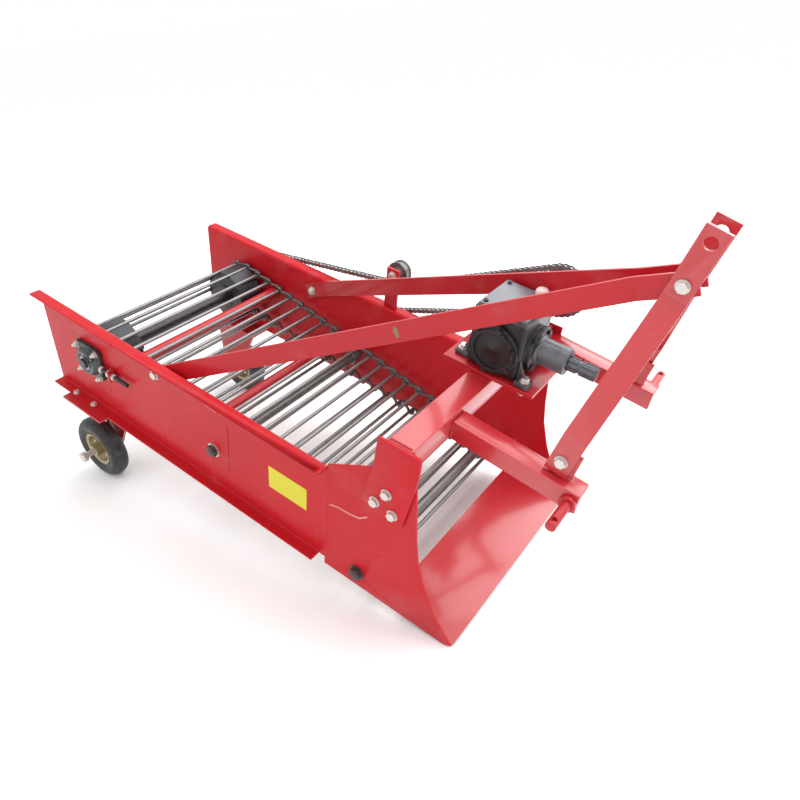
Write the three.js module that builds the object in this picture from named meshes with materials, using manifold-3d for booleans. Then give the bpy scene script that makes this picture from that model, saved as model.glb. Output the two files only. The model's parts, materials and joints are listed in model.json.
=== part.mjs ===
// One-row potato digger for a three-point hitch, in millimetres, +Z up.
// Every piece is placed in the chassis frame: x runs forward from the rear end of the side plates,
// y runs to the left from the middle of the crop channel, and z runs up from the plates' top edge.
// The whole chassis is then pitched nose down until the wheels and the cheeks' toes stand on one floor.
import * as THREE from 'three';
import { mergeVertices } from 'three/addons/utils/BufferGeometryUtils.js';
import Module from 'manifold-3d';

// ---- clearances ----
const TOUCH = 0.3;              // between pieces that rest on, or are welded or bolted to, each other
const RUNNING = 0.5;            // around a shaft in its hole, and between a chain and its wheel

// ---- crop channel ----
const CHANNEL = 620;            // inside width between the side plates
const SHEET = 5;                // side plate and cheek thickness
const PLATE_LENGTH = 1087;
const PLATE_HEIGHT = 318;
const FLANGE = 36;              // outward reach of the top and bottom flanges
const FLANGE_SETBACK = 18;      // the lower flange stops short of the plates' front end
const LOWER_FLANGE_LENGTH = PLATE_LENGTH - FLANGE_SETBACK;
const HALF = CHANNEL / 2;
const OUTER = HALF + SHEET;

// ---- front cheeks and share ----
// Everything at the front end is placed from the front ends of the side plates.
const fromFront = ([x, z]) => [PLATE_LENGTH + x, z];
const CHEEK_DEPTH = PLATE_HEIGHT + 24;  // lower edge of the cheeks below the plates' top edge
const CHEEK_TOE = fromFront([361, -CHEEK_DEPTH]); // the digger stands on its wheels and these toes
const SHARE_REAR = fromFront([203, 42 - CHEEK_DEPTH]);
const SHARE_TIP = fromFront([383, 11 - CHEEK_DEPTH]);
const SHARE_THICKNESS = 8;
const SHARE_BEVEL = 22;         // ground length of the cutting edge

const SHAFT_SLOT = [64, 44];    // the rear shaft slides in this slot as the web is tightened
const CHEEK_OUTLINE = [
  [PLATE_LENGTH + TOUCH, 6],
  [PLATE_LENGTH + TOUCH, -CHEEK_DEPTH],
  CHEEK_TOE,
  ...[
    [380, 10 - CHEEK_DEPTH],
    [325, 70 - CHEEK_DEPTH],
    [287, -197],
    [260, -125],
    [248, -61],
    [233, 60],
    [227, 104],
    [119, 76],
  ].map(fromFront),
];
const BRACKET_OUTLINE = [
  [103, -26],
  [212, -40],
  [227, 60],
  [234, 121],
  [234, 172],
  [129, 172],
  [125, 96],
].map(fromFront);

// ---- cross beam and its end brackets ----
const BEAM = 60;                // square tube
const BEAM_WALL = 5;
const BEAM_CENTRE = fromFront([178, 142]);
const BRACKET_THICKNESS = 8;

// ---- hitch ----
const HITCH_Y = 75;             // the hitch and the drive shaft sit to the left of the middle
const ARM_SPACING = 432;        // between the centres of the two lower arms
const ARM_WIDTH = 48;
const ARM_HEIGHT = 49;
const ARM_REAR_TOP = 157;       // height of the arm's top at the beam
const ARM_FRONT = fromFront([505, 133]); // upper front corner of the arm
const PIN_RADIUS = 11;          // category 1 narrow lower pin
const PIN_LENGTH = 84;
const PIN_SETBACK = 18;         // from the arm's front end to the pin's axis
const PIN_COLLAR_RADIUS = 18;
const PIN_COLLAR_LENGTH = 12;
const LYNCH_HOLE_RADIUS = 6;
const LYNCH_HOLE_INSET = 14;

// ---- mast: two flat bars, bent upright at both ends, that meet in a clevis ----
const MAST_BAR = [50, 8];       // width and thickness
const MAST_FOOT = fromFront([444, 176]); // lower bolt
const MAST_LEAN = 10.2;         // degrees forward of the chassis upright
const MAST_FOOT_REACH = 35;     // bar below the lower bolt
const MAST_LOWER_BEND = 67;     // along the bar above the lower bolt
const MAST_UPPER_BEND = 315;
const MAST_HEAD_BOLT = 344;
const TOP_LINK_HOLE = 434;
const MAST_LENGTH = 462;
const LUG_LEAN = 12;            // forward lean of the lug's top
const CLEVIS_GAP = 58;          // between the two heads
const TOP_LINK_HOLE_RADIUS = 13;
const LUG_THICKNESS = 8;
const LUG_HEIGHT = 62;
const HEAD_BOLT_RADIUS = 8;
const BOLT_HEAD = [13, 10];     // across-corner radius and height

// ---- brace bars ----
const BRACE_BAR = [48, 8];      // height and thickness
const BRACE_REAR = [495, -52];  // rear bolt, inside the side plate
const BRACE_FLAT_REAR = 60;     // length that lies against the plate, in front of the bolt
const BRACE_FLAT_FRONT = 90;    // length that lies in the clevis, behind the bolt
const BRACE_END = 26;           // bar past each bolt

// ---- rod conveyor ----
const ROD_RADIUS = 5.5;
const ROD_PITCH = 50;
const REAR_SHAFT_PLACE = 200;   // middle of the tensioner's travel
const ROD_END_GAP = 7;          // between a rod's end and the side plate
const HOOK_WIDTH = 14;
const HOOK_HEIGHT = 13;
const DRUM_LOBES = 10;
const DRUM_LENGTH = 82;
const DRUM_INSET = 12;          // between the hooks and the drum
const GROOVE_CLEARANCE = 1.5;   // each side of a rod in the drum
const LOBE_RISE = 3;            // lobe top above the rod centres
const REAR_SHAFT_Z = -146;
const FRONT_ROLLER = fromFront([103, 49 - CHEEK_DEPTH]);
const FRONT_ROLLER_PITCH_RADIUS = 32;
const MID_ROLLER_X = 702;
const MID_ROLLER_RADIUS = 22;
const ROLLER_TUBE_RADIUS = 16;
const ROLLER_WHEEL_WIDTH = 30;
const ROLLER_AXLE_RADIUS = 10;
const ROLLER_NUT = [17, 14];
const CROSS_TUBES = [[338, -116], [600, -200]];
const CROSS_TUBE_RADIUS = 17;
const CROSS_TUBE_WALL = 3;

// ---- rear shaft and bearings ----
const SHAFT_TUBE_RADIUS = 21;
const JOURNAL_RADIUS = 15;
const JOURNAL_END = OUTER + 35; // right end of the rear shaft
const BEARING_SQUARE = 108;
const BEARING_FLANGE = 13;
const BEARING_BOSS = [34, 27];  // radius, and height above the plate
const TENSION_ROD_RADIUS = 6;
const TENSION_ROD_LENGTH = 120;
const TENSION_LUG = [10, 24, 34];
const TENSION_LUG_X = 100;      // ahead of the shaft

// ---- gearbox ----
const GEARBOX_X = PLATE_LENGTH + 192;
const GEARBOX_BODY = [130, 136, 150];
const GEARBOX_BASE = [232, 160, 10];
const COVER_PLATE = [118, 130, 8];
const SHAFT_HEIGHT = 64;        // shaft axes above the gearbox's foot
const SIDE_COVER = [62, 16];
const INPUT_FLANGE = [52, 12];
const INPUT_HOUSING = [31, 72];
const SPLINE_RADIUS = 17.4;     // 35 mm six-spline shaft
const SPLINE_ROOT = 14.5;
const SPLINE_TEETH = 6;
const SPLINE_FLANK = [0.36, 0.22]; // half a tooth at its root and its tip, in shares of the tooth spacing
const SPLINE_REACH = 66;
const SPLINE_DEPTH = 30;        // length inside the housing
const FOOT = [36, 30, 14];
const OUTPUT_FLANGE = [50, 12];
const OUTPUT_HOUSING_RADIUS = 30;
const OUTPUT_SHAFT_RADIUS = 15;

// ---- chain drive on the left side ----
const CHAIN_Y = HALF + FLANGE + 14; // the chain runs clear outside the flange
const OUTPUT_HOUSING_END = CHAIN_Y - 28;
const CHAIN_WIDTH = 17;
const CHAIN_DEPTH = 15;
const CHAIN_CLEARANCE = 1;      // between the chain and the wheels it runs on
const DRIVE_SPROCKET_RADIUS = 64;
const DRIVEN_SPROCKET_RADIUS = 108;
const SPROCKET_WIDTH = 9;
const HUB_RADIUS = 26;
const HUB_REACH = 16;
const IDLER = [PLATE_LENGTH - 302, 107];
const IDLER_RADIUS = 30;
const IDLER_WIDTH = 26;
const IDLER_BRACKET = [44, 8];
const IDLER_BRACKET_INSET = 14;
const SHAFT_END = CHAIN_Y + HUB_REACH + 8; // left end of both drive shafts

// ---- wheels ----
const WHEEL = [133, -PLATE_HEIGHT - 216];
const WHEEL_Y = HALF + 2;
const TYRE_RADIUS = 106;
const TYRE_WIDTH = 58;
const RIM_RADIUS = 58;
const RIM_WIDTH = 44;
const HUB = [20, 74];
const AXLE_RADIUS = 10;
const WHEEL_BRACKET_CENTRE = 168; // middle of the bracket's plate, ahead of the wheel's axle
const AXLE_END = HALF + 82;
const AXLE_CAP = [17, 20];
const AXLE_HEAD = 14;
const RIM_DISC = 12;
const RIM_LIP = 9;
const BEAD_WIDTH = 42;
const TYRE_ARC = 2.3;
const WHEEL_BRACKET_PLATE = [180, 8];
const WHEEL_BRACKET_REACH = HALF + 60;
const WHEEL_ARM_FOOT = 30;
const WHEEL_ARM_Y = HALF - 56;
const WHEEL_ARM_THICKNESS = 10;

// ---- finishes ----
const paint = (color) => new THREE.MeshStandardMaterial({ color, roughness: 0.35, metalness: 0.1 });
const metal = (color) => new THREE.MeshStandardMaterial({ color, roughness: 0.4, metalness: 0.8 });
const RED = 0xb81c26;
const CAST = 0x2b2b2e;
const STEEL = 0x8a8886;
const DARK = 0x1b1b1d;
const RUBBER = 0x202022;
const ZINC = 0xb9b4ac;
const GOLD = 0x9c8748;

// ---- solids ----
const wasm = await Module();
wasm.setup();

function toSolid(geometry) {
  const bare = geometry.index ? geometry.toNonIndexed() : geometry.clone();
  bare.deleteAttribute('normal');
  bare.deleteAttribute('uv');
  const merged = mergeVertices(bare, 1e-4);
  return new wasm.Manifold(new wasm.Mesh({
    numProp: 3,
    vertProperties: new Float32Array(merged.attributes.position.array),
    triVerts: new Uint32Array(merged.index.array),
  }));
}

function toGeometry(solid) {
  const { vertProperties, triVerts } = solid.getMesh();
  const geometry = new THREE.BufferGeometry();
  geometry.setAttribute('position', new THREE.BufferAttribute(new Float32Array(vertProperties), 3));
  geometry.setIndex(new THREE.BufferAttribute(new Uint32Array(triVerts), 1));
  geometry.computeVertexNormals();
  return geometry;
}

// Joins the first list of geometries and cuts the second list out of them.
function combine(joined, cut = []) {
  let solid = toSolid(joined[0]);
  for (const geometry of joined.slice(1)) solid = solid.add(toSolid(geometry));
  for (const geometry of cut) solid = solid.subtract(toSolid(geometry));
  return toGeometry(solid);
}

function outline(points) {
  return new THREE.Shape(points.map(([u, v]) => new THREE.Vector2(u, v)));
}

const UNIT = [new THREE.Vector3(1, 0, 0), new THREE.Vector3(0, 1, 0), new THREE.Vector3(0, 0, 1)];
const BACK_Y = new THREE.Vector3(0, -1, 0);

// A side view in x and z, given thickness along y between two values.
function sidePlate(points, yLow, yHigh) {
  const shape = points instanceof THREE.Shape ? points : outline(points);
  const solid = new THREE.ExtrudeGeometry(shape, { depth: yHigh - yLow, bevelEnabled: false });
  solid.applyMatrix4(new THREE.Matrix4().makeBasis(UNIT[0], UNIT[2], BACK_Y));
  return solid.translate(0, yHigh, 0);
}

// A cross-section in y and z, given length along x between two values.
function section(points, xLow, xHigh) {
  const shape = points instanceof THREE.Shape ? points : outline(points);
  const solid = new THREE.ExtrudeGeometry(shape, { depth: xHigh - xLow, bevelEnabled: false });
  solid.applyMatrix4(new THREE.Matrix4().makeBasis(UNIT[1], UNIT[2], UNIT[0]));
  return solid.translate(xLow, 0, 0);
}

function block(xLow, xHigh, yLow, yHigh, zLow, zHigh) {
  const box = new THREE.BoxGeometry(xHigh - xLow, yHigh - yLow, zHigh - zLow);
  return box.translate((xLow + xHigh) / 2, (yLow + yHigh) / 2, (zLow + zHigh) / 2);
}

// Round bar along y between two values, through a point of the side view.
function roundY(radius, [x, z], yLow, yHigh, sides = 24) {
  const bar = new THREE.CylinderGeometry(radius, radius, yHigh - yLow, sides);
  return bar.translate(x, (yLow + yHigh) / 2, z);
}

function roundX(radius, [y, z], xLow, xHigh, sides = 24) {
  const bar = new THREE.CylinderGeometry(radius, radius, xHigh - xLow, sides);
  return bar.rotateZ(-Math.PI / 2).translate((xLow + xHigh) / 2, y, z);
}

// The same bar on the right (-1) or left (+1) side, between two distances from the middle.
function roundSide(side, radius, centre, near, far, sides) {
  const [low, high] = [side * near, side * far].sort((a, b) => a - b);
  return roundY(radius, centre, low, high, sides);
}

function plateSide(side, points, near, far) {
  return sidePlate(points, Math.min(side * near, side * far), Math.max(side * near, side * far));
}

// A bar bent in plan: its middle line is given in u and y, and it is as tall as [low, high].
function bentBar(line, thickness, low, high) {
  const normals = line.map((point, i) => {
    const before = line[Math.max(i - 1, 0)];
    const after = line[Math.min(i + 1, line.length - 1)];
    const inward = new THREE.Vector2(point[0] - before[0], point[1] - before[1]).normalize();
    const outward = new THREE.Vector2(after[0] - point[0], after[1] - point[1]).normalize();
    if (i === 0) inward.copy(outward);
    if (i === line.length - 1) outward.copy(inward);
    const bisector = inward.clone().add(outward).normalize();
    const stretch = 1 / bisector.dot(inward);
    return [-bisector.y * stretch, bisector.x * stretch];
  });
  const offset = (distance) => line.map(([u, y], i) => {
    const [across, along] = normals[i];
    return [u + across * distance, y + along * distance];
  });
  const shape = outline([...offset(thickness / 2), ...offset(-thickness / 2).reverse()]);
  const bar = new THREE.ExtrudeGeometry(shape, { depth: high - low, bevelEnabled: false });
  return bar.translate(0, 0, low);
}

// ---- closed loops around wheels in the side view ----
// Each wheel is { x, z, r, turn }: turn is 1 where the loop goes round it anticlockwise, and -1 where it
// presses on the loop from outside. Returns the loop's straight runs and arcs in order.
function loopPieces(wheels) {
  const runs = wheels.map((a, i) => {
    const b = wheels[(i + 1) % wheels.length];
    const dx = b.x - a.x;
    const dz = b.z - a.z;
    const distance = Math.hypot(dx, dz);
    const heading = Math.atan2(dz, dx) - Math.asin((b.turn * b.r - a.turn * a.r) / distance);
    const side = (wheel) => [
      wheel.x + wheel.turn * wheel.r * Math.sin(heading),
      wheel.z - wheel.turn * wheel.r * Math.cos(heading),
    ];
    return { from: side(a), to: side(b), heading };
  });
  const pieces = [];
  wheels.forEach((wheel, i) => {
    const arriving = runs[(i + wheels.length - 1) % wheels.length].heading;
    const full = 2 * Math.PI;
    const sweep = wheel.turn * ((((runs[i].heading - arriving) * wheel.turn) % full + full) % full);
    pieces.push({ arc: wheel, heading: arriving, sweep, length: Math.abs(sweep) * wheel.r });
    const { from, to, heading } = runs[i];
    pieces.push({ from, heading, length: Math.hypot(to[0] - from[0], to[1] - from[1]) });
  });
  return pieces;
}

function loopLength(pieces) {
  return pieces.reduce((sum, piece) => sum + piece.length, 0);
}

// Place and heading at a distance along the loop.
function loopPoint(pieces, distance) {
  const total = loopLength(pieces);
  let rest = ((distance % total) + total) % total;
  let piece = pieces[0];
  for (piece of pieces) {
    if (rest <= piece.length) break;
    rest -= piece.length;
  }
  if (!piece.arc) {
    const { from, heading } = piece;
    return { x: from[0] + rest * Math.cos(heading), z: from[1] + rest * Math.sin(heading), heading };
  }
  const { x, z, r, turn } = piece.arc;
  const heading = piece.heading + (turn * rest) / r;
  return { x: x + turn * r * Math.sin(heading), z: z - turn * r * Math.cos(heading), heading };
}

// The loop's outline at a distance outside its middle line, with arcs in even steps.
function loopOutline(pieces, outside, stepDegrees = 12) {
  const points = [];
  for (const piece of pieces) {
    if (!piece.arc) continue;
    const steps = Math.max(2, Math.ceil(THREE.MathUtils.radToDeg(Math.abs(piece.sweep)) / stepDegrees));
    for (let i = 0; i <= steps; i += 1) {
      const heading = piece.heading + (piece.sweep * i) / steps;
      const reach = piece.arc.turn * piece.arc.r + outside;
      points.push([piece.arc.x + reach * Math.sin(heading), piece.arc.z - reach * Math.cos(heading)]);
    }
  }
  return points;
}

// ---- the assembly ----
const chassis = new THREE.Group();

function add(name, geometry, material, parent = chassis) {
  const mesh = new THREE.Mesh(geometry, material);
  mesh.name = name;
  parent.add(mesh);
  return mesh;
}

const SIDES = [['right', -1], ['left', 1]];

const wheelsOf = (rearX) => {
  const drumPitchRadius = (DRUM_LOBES * ROD_PITCH) / (2 * Math.PI);
  return [
    { x: rearX, z: REAR_SHAFT_Z, r: drumPitchRadius, turn: 1 },
    { x: FRONT_ROLLER[0], z: FRONT_ROLLER[1], r: FRONT_ROLLER_PITCH_RADIUS, turn: 1 },
  ];
};

const ROD_COUNT = Math.round(loopLength(loopPieces(wheelsOf(REAR_SHAFT_PLACE))) / ROD_PITCH);

// The tensioner pulls the rear shaft back until the rods fill the loop exactly.
function rearShaftPlace() {
  let low = 0;
  let high = FRONT_ROLLER[0] - PLATE_LENGTH / 2;
  for (let i = 0; i < 40; i += 1) {
    const middle = (low + high) / 2;
    if (loopLength(loopPieces(wheelsOf(middle))) > ROD_COUNT * ROD_PITCH) low = middle;
    else high = middle;
  }
  return (low + high) / 2;
}

const REAR_X = rearShaftPlace();
const REAR_SHAFT = [REAR_X, REAR_SHAFT_Z];
const conveyorLoop = loopPieces(wheelsOf(REAR_X));
const DRUM_PITCH_RADIUS = wheelsOf(REAR_X)[0].r;

// Height of the rods' centres on the upper run.
function runHeight(x) {
  const upper = conveyorLoop[conveyorLoop.length - 1];
  return upper.from[1] + (x - upper.from[0]) * Math.tan(upper.heading);
}

const DRUM_GAP = ROD_RADIUS + RUNNING;
const MID_ROLLER = [MID_ROLLER_X, runHeight(MID_ROLLER_X) - DRUM_GAP - MID_ROLLER_RADIUS];

// ---- side plates, front cheeks and beam brackets ----
for (const [side, s] of SIDES) {
  const channelSection = (lowerReach) => [
    [s * HALF, 0],
    [s * (HALF + FLANGE), 0],
    [s * (HALF + FLANGE), -SHEET],
    [s * OUTER, -SHEET],
    [s * OUTER, SHEET - PLATE_HEIGHT],
    [s * (HALF + lowerReach), SHEET - PLATE_HEIGHT],
    [s * (HALF + lowerReach), -PLATE_HEIGHT],
    [s * HALF, -PLATE_HEIGHT],
  ];
  const flanged = section(channelSection(FLANGE), 0, LOWER_FLANGE_LENGTH);
  const frontEnd = section(channelSection(2 * SHEET), LOWER_FLANGE_LENGTH, PLATE_LENGTH);
  const shaftSlot = block(
    REAR_X - SHAFT_SLOT[0] / 2, REAR_X + SHAFT_SLOT[0] / 2, -CHANNEL, CHANNEL,
    REAR_SHAFT_Z - SHAFT_SLOT[1] / 2, REAR_SHAFT_Z + SHAFT_SLOT[1] / 2,
  );
  const midHole = roundY(ROLLER_AXLE_RADIUS + RUNNING, MID_ROLLER, -CHANNEL, CHANNEL);
  add(`side_plate_${side}`, combine([flanged, frontEnd], [shaftSlot, midHole]), paint(RED));

  const cheek = plateSide(s, CHEEK_OUTLINE, HALF, OUTER);
  const frontHole = roundY(ROLLER_AXLE_RADIUS + RUNNING, FRONT_ROLLER, -CHANNEL, CHANNEL);
  add(`front_cheek_${side}`, combine([cheek], [frontHole]), paint(RED));

  const bracket = plateSide(s, BRACKET_OUTLINE, OUTER + TOUCH, OUTER + TOUCH + BRACKET_THICKNESS);
  add(`beam_bracket_${side}`, bracket, paint(RED));
}

// ---- share, a plate across the channel with a ground cutting edge ----
{
  const [rearX, rearZ] = SHARE_REAR;
  const [tipX, tipZ] = SHARE_TIP;
  const slope = (rearZ - tipZ) / (tipX - rearX);
  const shareOutline = [
    [rearX, rearZ],
    [tipX, tipZ],
    [tipX - SHARE_BEVEL, tipZ + SHARE_BEVEL * slope - SHARE_THICKNESS],
    [rearX, rearZ - SHARE_THICKNESS],
  ];
  add('share_blade', sidePlate(shareOutline, TOUCH - HALF, HALF - TOUCH), paint(RED));
}

// ---- cross beam, a square tube between the brackets ----
{
  const [x, z] = BEAM_CENTRE;
  const reach = OUTER;
  const outside = block(x - BEAM / 2, x + BEAM / 2, -reach, reach, z - BEAM / 2, z + BEAM / 2);
  const inner = BEAM / 2 - BEAM_WALL;
  const bore = block(x - inner, x + inner, -2 * reach, 2 * reach, z - inner, z + inner);
  add('cross_beam', combine([outside], [bore]), paint(RED));
}

// ---- lower hitch arms, each with its pin and the lug that its mast bar is bolted to ----
const [MAST_WIDTH, MAST_THICKNESS] = MAST_BAR;
const BEAM_FRONT = BEAM_CENTRE[0] + BEAM / 2;
const [ARM_FRONT_X, ARM_FRONT_Z] = ARM_FRONT;
const ARM_SLOPE = (ARM_FRONT_Z - ARM_REAR_TOP) / (ARM_FRONT_X - BEAM_FRONT);
const armTop = (x) => ARM_REAR_TOP + ARM_SLOPE * (x - BEAM_FRONT);
const PIN_CENTRE = [ARM_FRONT_X - PIN_SETBACK, armTop(ARM_FRONT_X - PIN_SETBACK) - ARM_HEIGHT / 2];

for (const [side, s] of SIDES) {
  const armY = HITCH_Y + (s * ARM_SPACING) / 2;
  const armOutline = [
    [BEAM_FRONT + TOUCH, ARM_REAR_TOP],
    [BEAM_FRONT + TOUCH, ARM_REAR_TOP - ARM_HEIGHT],
    [ARM_FRONT_X, ARM_FRONT_Z - ARM_HEIGHT],
    [ARM_FRONT_X, ARM_FRONT_Z],
  ];
  const lugX = MAST_FOOT[0];
  const lugOutline = [
    [lugX - MAST_WIDTH / 2, armTop(lugX) - ARM_HEIGHT / 2],
    [lugX + MAST_WIDTH / 2, armTop(lugX) - ARM_HEIGHT / 2],
    [lugX + MAST_WIDTH / 2 + LUG_LEAN, armTop(lugX) + LUG_HEIGHT],
    [lugX - MAST_WIDTH / 2 + LUG_LEAN, armTop(lugX) + LUG_HEIGHT],
  ];
  const lugNear = s * armY - MAST_THICKNESS / 2 - TOUCH - LUG_THICKNESS;
  const arm = sidePlate(armOutline, armY - ARM_WIDTH / 2, armY + ARM_WIDTH / 2);
  const lug = plateSide(s, lugOutline, lugNear, lugNear + LUG_THICKNESS);
  add(`hitch_arm_${side}`, combine([arm, lug]), paint(RED));

  const root = s * armY + ARM_WIDTH / 2 + TOUCH;
  const end = root + PIN_LENGTH;
  const collar = roundSide(s, PIN_COLLAR_RADIUS, PIN_CENTRE, root, root + PIN_COLLAR_LENGTH);
  const pin = roundSide(s, PIN_RADIUS, PIN_CENTRE, root, end);
  const hole = new THREE.CylinderGeometry(LYNCH_HOLE_RADIUS, LYNCH_HOLE_RADIUS, 4 * PIN_RADIUS, 12);
  hole.rotateX(Math.PI / 2).translate(PIN_CENTRE[0], s * (end - LYNCH_HOLE_INSET), PIN_CENTRE[1]);
  add(`lower_hitch_pin_${side}`, combine([collar, pin], [hole]), paint(RED));
}

// ---- mast: a bent bar on each arm's lug, and the clevis that the two bars form ----
// The mast group's x runs across a bar's width, and its z runs up the bar from the lower bolt.
const mast = new THREE.Group();
mast.position.set(MAST_FOOT[0], 0, MAST_FOOT[1]);
mast.rotation.y = THREE.MathUtils.degToRad(MAST_LEAN);
chassis.add(mast);

const HEAD_INNER = CLEVIS_GAP / 2;

for (const [side, s] of SIDES) {
  const footY = HITCH_Y + (s * ARM_SPACING) / 2;
  const headY = HITCH_Y + s * (HEAD_INNER + MAST_THICKNESS / 2);
  const line = [
    [-MAST_FOOT_REACH, footY],
    [MAST_LOWER_BEND, footY],
    [MAST_UPPER_BEND, headY],
    [MAST_LENGTH, headY],
  ];
  const bar = bentBar(line, MAST_THICKNESS, -MAST_WIDTH / 2, MAST_WIDTH / 2);
  bar.applyMatrix4(new THREE.Matrix4().makeBasis(UNIT[2], UNIT[1], new THREE.Vector3(-1, 0, 0)));
  const boltHole = roundY(HEAD_BOLT_RADIUS + RUNNING, [0, MAST_HEAD_BOLT], -CHANNEL, CHANNEL);
  const linkHole = roundY(TOP_LINK_HOLE_RADIUS, [0, TOP_LINK_HOLE], -CHANNEL, CHANNEL);
  add(`mast_leg_${side}`, combine([bar], [boltHole, linkHole]), paint(RED), mast);
}

const headBoltSpan = HEAD_INNER + MAST_THICKNESS + TOUCH;
{
  const [headRadius, headHeight] = BOLT_HEAD;
  const place = [0, MAST_HEAD_BOLT];
  const spacer = HEAD_INNER - BRACE_BAR[1] - 2 * TOUCH;
  const reach = headBoltSpan + headHeight;
  const rod = roundY(HEAD_BOLT_RADIUS, place, HITCH_Y - reach, HITCH_Y + reach);
  const head = roundY(headRadius, place, HITCH_Y - reach, HITCH_Y - headBoltSpan, 6);
  const nut = roundY(headRadius, place, HITCH_Y + headBoltSpan, HITCH_Y + reach, 6);
  const sleeve = roundY(headRadius, place, HITCH_Y - spacer, HITCH_Y + spacer);
  add('mast_bolt', combine([rod, head, nut, sleeve]), metal(ZINC), mast);
}

// ---- brace bars from the clevis back to the side plates ----
const lean = THREE.MathUtils.degToRad(MAST_LEAN);
const HEAD_BOLT_PLACE = [
  MAST_FOOT[0] + MAST_HEAD_BOLT * Math.sin(lean),
  MAST_FOOT[1] + MAST_HEAD_BOLT * Math.cos(lean),
];
const BRACE_RUN = [HEAD_BOLT_PLACE[0] - BRACE_REAR[0], HEAD_BOLT_PLACE[1] - BRACE_REAR[1]];
const BRACE_LENGTH = Math.hypot(...BRACE_RUN);
const BRACE_SLOPE = Math.atan2(BRACE_RUN[1], BRACE_RUN[0]);
const braces = new THREE.Group();
braces.position.set(BRACE_REAR[0], 0, BRACE_REAR[1]);
braces.rotation.y = -BRACE_SLOPE;
chassis.add(braces);

for (const [side, s] of SIDES) {
  const [height, thickness] = BRACE_BAR;
  const rearY = s * (HALF - TOUCH - thickness / 2);
  const frontY = HITCH_Y + s * (HEAD_INNER - TOUCH - thickness / 2);
  const line = [
    [-BRACE_END, rearY],
    [BRACE_FLAT_REAR, rearY],
    [BRACE_LENGTH - BRACE_FLAT_FRONT, frontY],
    [BRACE_LENGTH + BRACE_END, frontY],
  ];
  const bar = bentBar(line, thickness, -height / 2, height / 2);
  const hole = roundY(HEAD_BOLT_RADIUS + RUNNING, [BRACE_LENGTH, 0], -CHANNEL, CHANNEL);
  add(`brace_bar_${side}`, combine([bar], [hole]), paint(RED), braces);
}

// ---- gearbox on its base plate ----
const BASE_BOTTOM = BEAM_CENTRE[1] + BEAM / 2 + TOUCH;
const FOOT_BOTTOM = BASE_BOTTOM + GEARBOX_BASE[2] + TOUCH;
const SHAFT_Z = FOOT_BOTTOM + SHAFT_HEIGHT;
const BODY_TOP = FOOT_BOTTOM + GEARBOX_BODY[2];
const bodyHalf = [GEARBOX_BODY[0] / 2, GEARBOX_BODY[1] / 2];
const OUTPUT_CENTRE = [GEARBOX_X, SHAFT_Z];
const INPUT_CENTRE = [HITCH_Y, SHAFT_Z];
const INPUT_FRONT = GEARBOX_X + bodyHalf[0] + INPUT_FLANGE[1] + INPUT_HOUSING[1];
{
  const [length, width, thickness] = GEARBOX_BASE;
  const base = block(
    GEARBOX_X - length / 2, GEARBOX_X + length / 2, HITCH_Y - width / 2, HITCH_Y + width / 2,
    BASE_BOTTOM, BASE_BOTTOM + thickness,
  );
  add('gearbox_base_plate', base, paint(RED));

  const right = HITCH_Y - bodyHalf[1];
  const left = HITCH_Y + bodyHalf[1];
  const front = GEARBOX_X + bodyHalf[0];
  const pieces = [
    block(GEARBOX_X - bodyHalf[0], front, right, left, FOOT_BOTTOM, BODY_TOP),
    roundY(SIDE_COVER[0], OUTPUT_CENTRE, right - SIDE_COVER[1], right + 1, 32),
    roundX(INPUT_FLANGE[0], INPUT_CENTRE, front - 1, front + INPUT_FLANGE[1], 32),
    roundX(INPUT_HOUSING[0], INPUT_CENTRE, front, INPUT_FRONT, 32),
    roundY(OUTPUT_FLANGE[0], OUTPUT_CENTRE, left - 1, left + OUTPUT_FLANGE[1], 32),
  ];
  for (const foreAft of [-1, 1]) {
    for (const across of [-1, 1]) {
      const x = GEARBOX_X + foreAft * (bodyHalf[0] + FOOT[0] / 2 - 1);
      const y = HITCH_Y + across * (bodyHalf[1] - FOOT[1] / 2);
      const foot = [x - FOOT[0] / 2, x + FOOT[0] / 2, y - FOOT[1] / 2, y + FOOT[1] / 2];
      pieces.push(block(...foot, FOOT_BOTTOM, FOOT_BOTTOM + FOOT[2]));
    }
  }
  const inputDepth = INPUT_FRONT - SPLINE_DEPTH;
  const inputBore = roundX(SPLINE_RADIUS + RUNNING, INPUT_CENTRE, inputDepth, INPUT_FRONT + 1);
  const outputDepth = left + OUTPUT_FLANGE[1] - SPLINE_DEPTH;
  const outputBore = roundY(OUTPUT_SHAFT_RADIUS + RUNNING, OUTPUT_CENTRE, outputDepth, left + CHANNEL);
  add('gearbox_housing', combine(pieces, [inputBore, outputBore]), metal(CAST));

  const [coverLength, coverWidth, coverThickness] = COVER_PLATE;
  const cover = block(
    GEARBOX_X - coverLength / 2, GEARBOX_X + coverLength / 2,
    HITCH_Y - coverWidth / 2, HITCH_Y + coverWidth / 2,
    BODY_TOP + TOUCH, BODY_TOP + TOUCH + coverThickness,
  );
  add('gearbox_top_cover', cover, metal(STEEL));

  // output tube, with the shaft through it to the chain's wheel
  const tubeStart = left + OUTPUT_FLANGE[1] + TOUCH;
  const tube = roundY(OUTPUT_HOUSING_RADIUS, OUTPUT_CENTRE, tubeStart, OUTPUT_HOUSING_END);
  const tubeBore = roundY(OUTPUT_SHAFT_RADIUS + RUNNING, OUTPUT_CENTRE, left, CHANNEL);
  add('output_shaft_housing', combine([tube], [tubeBore]), metal(CAST));
  const shaft = roundY(OUTPUT_SHAFT_RADIUS, OUTPUT_CENTRE, outputDepth + TOUCH, SHAFT_END);
  add('output_shaft', shaft, metal(STEEL));
}

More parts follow.
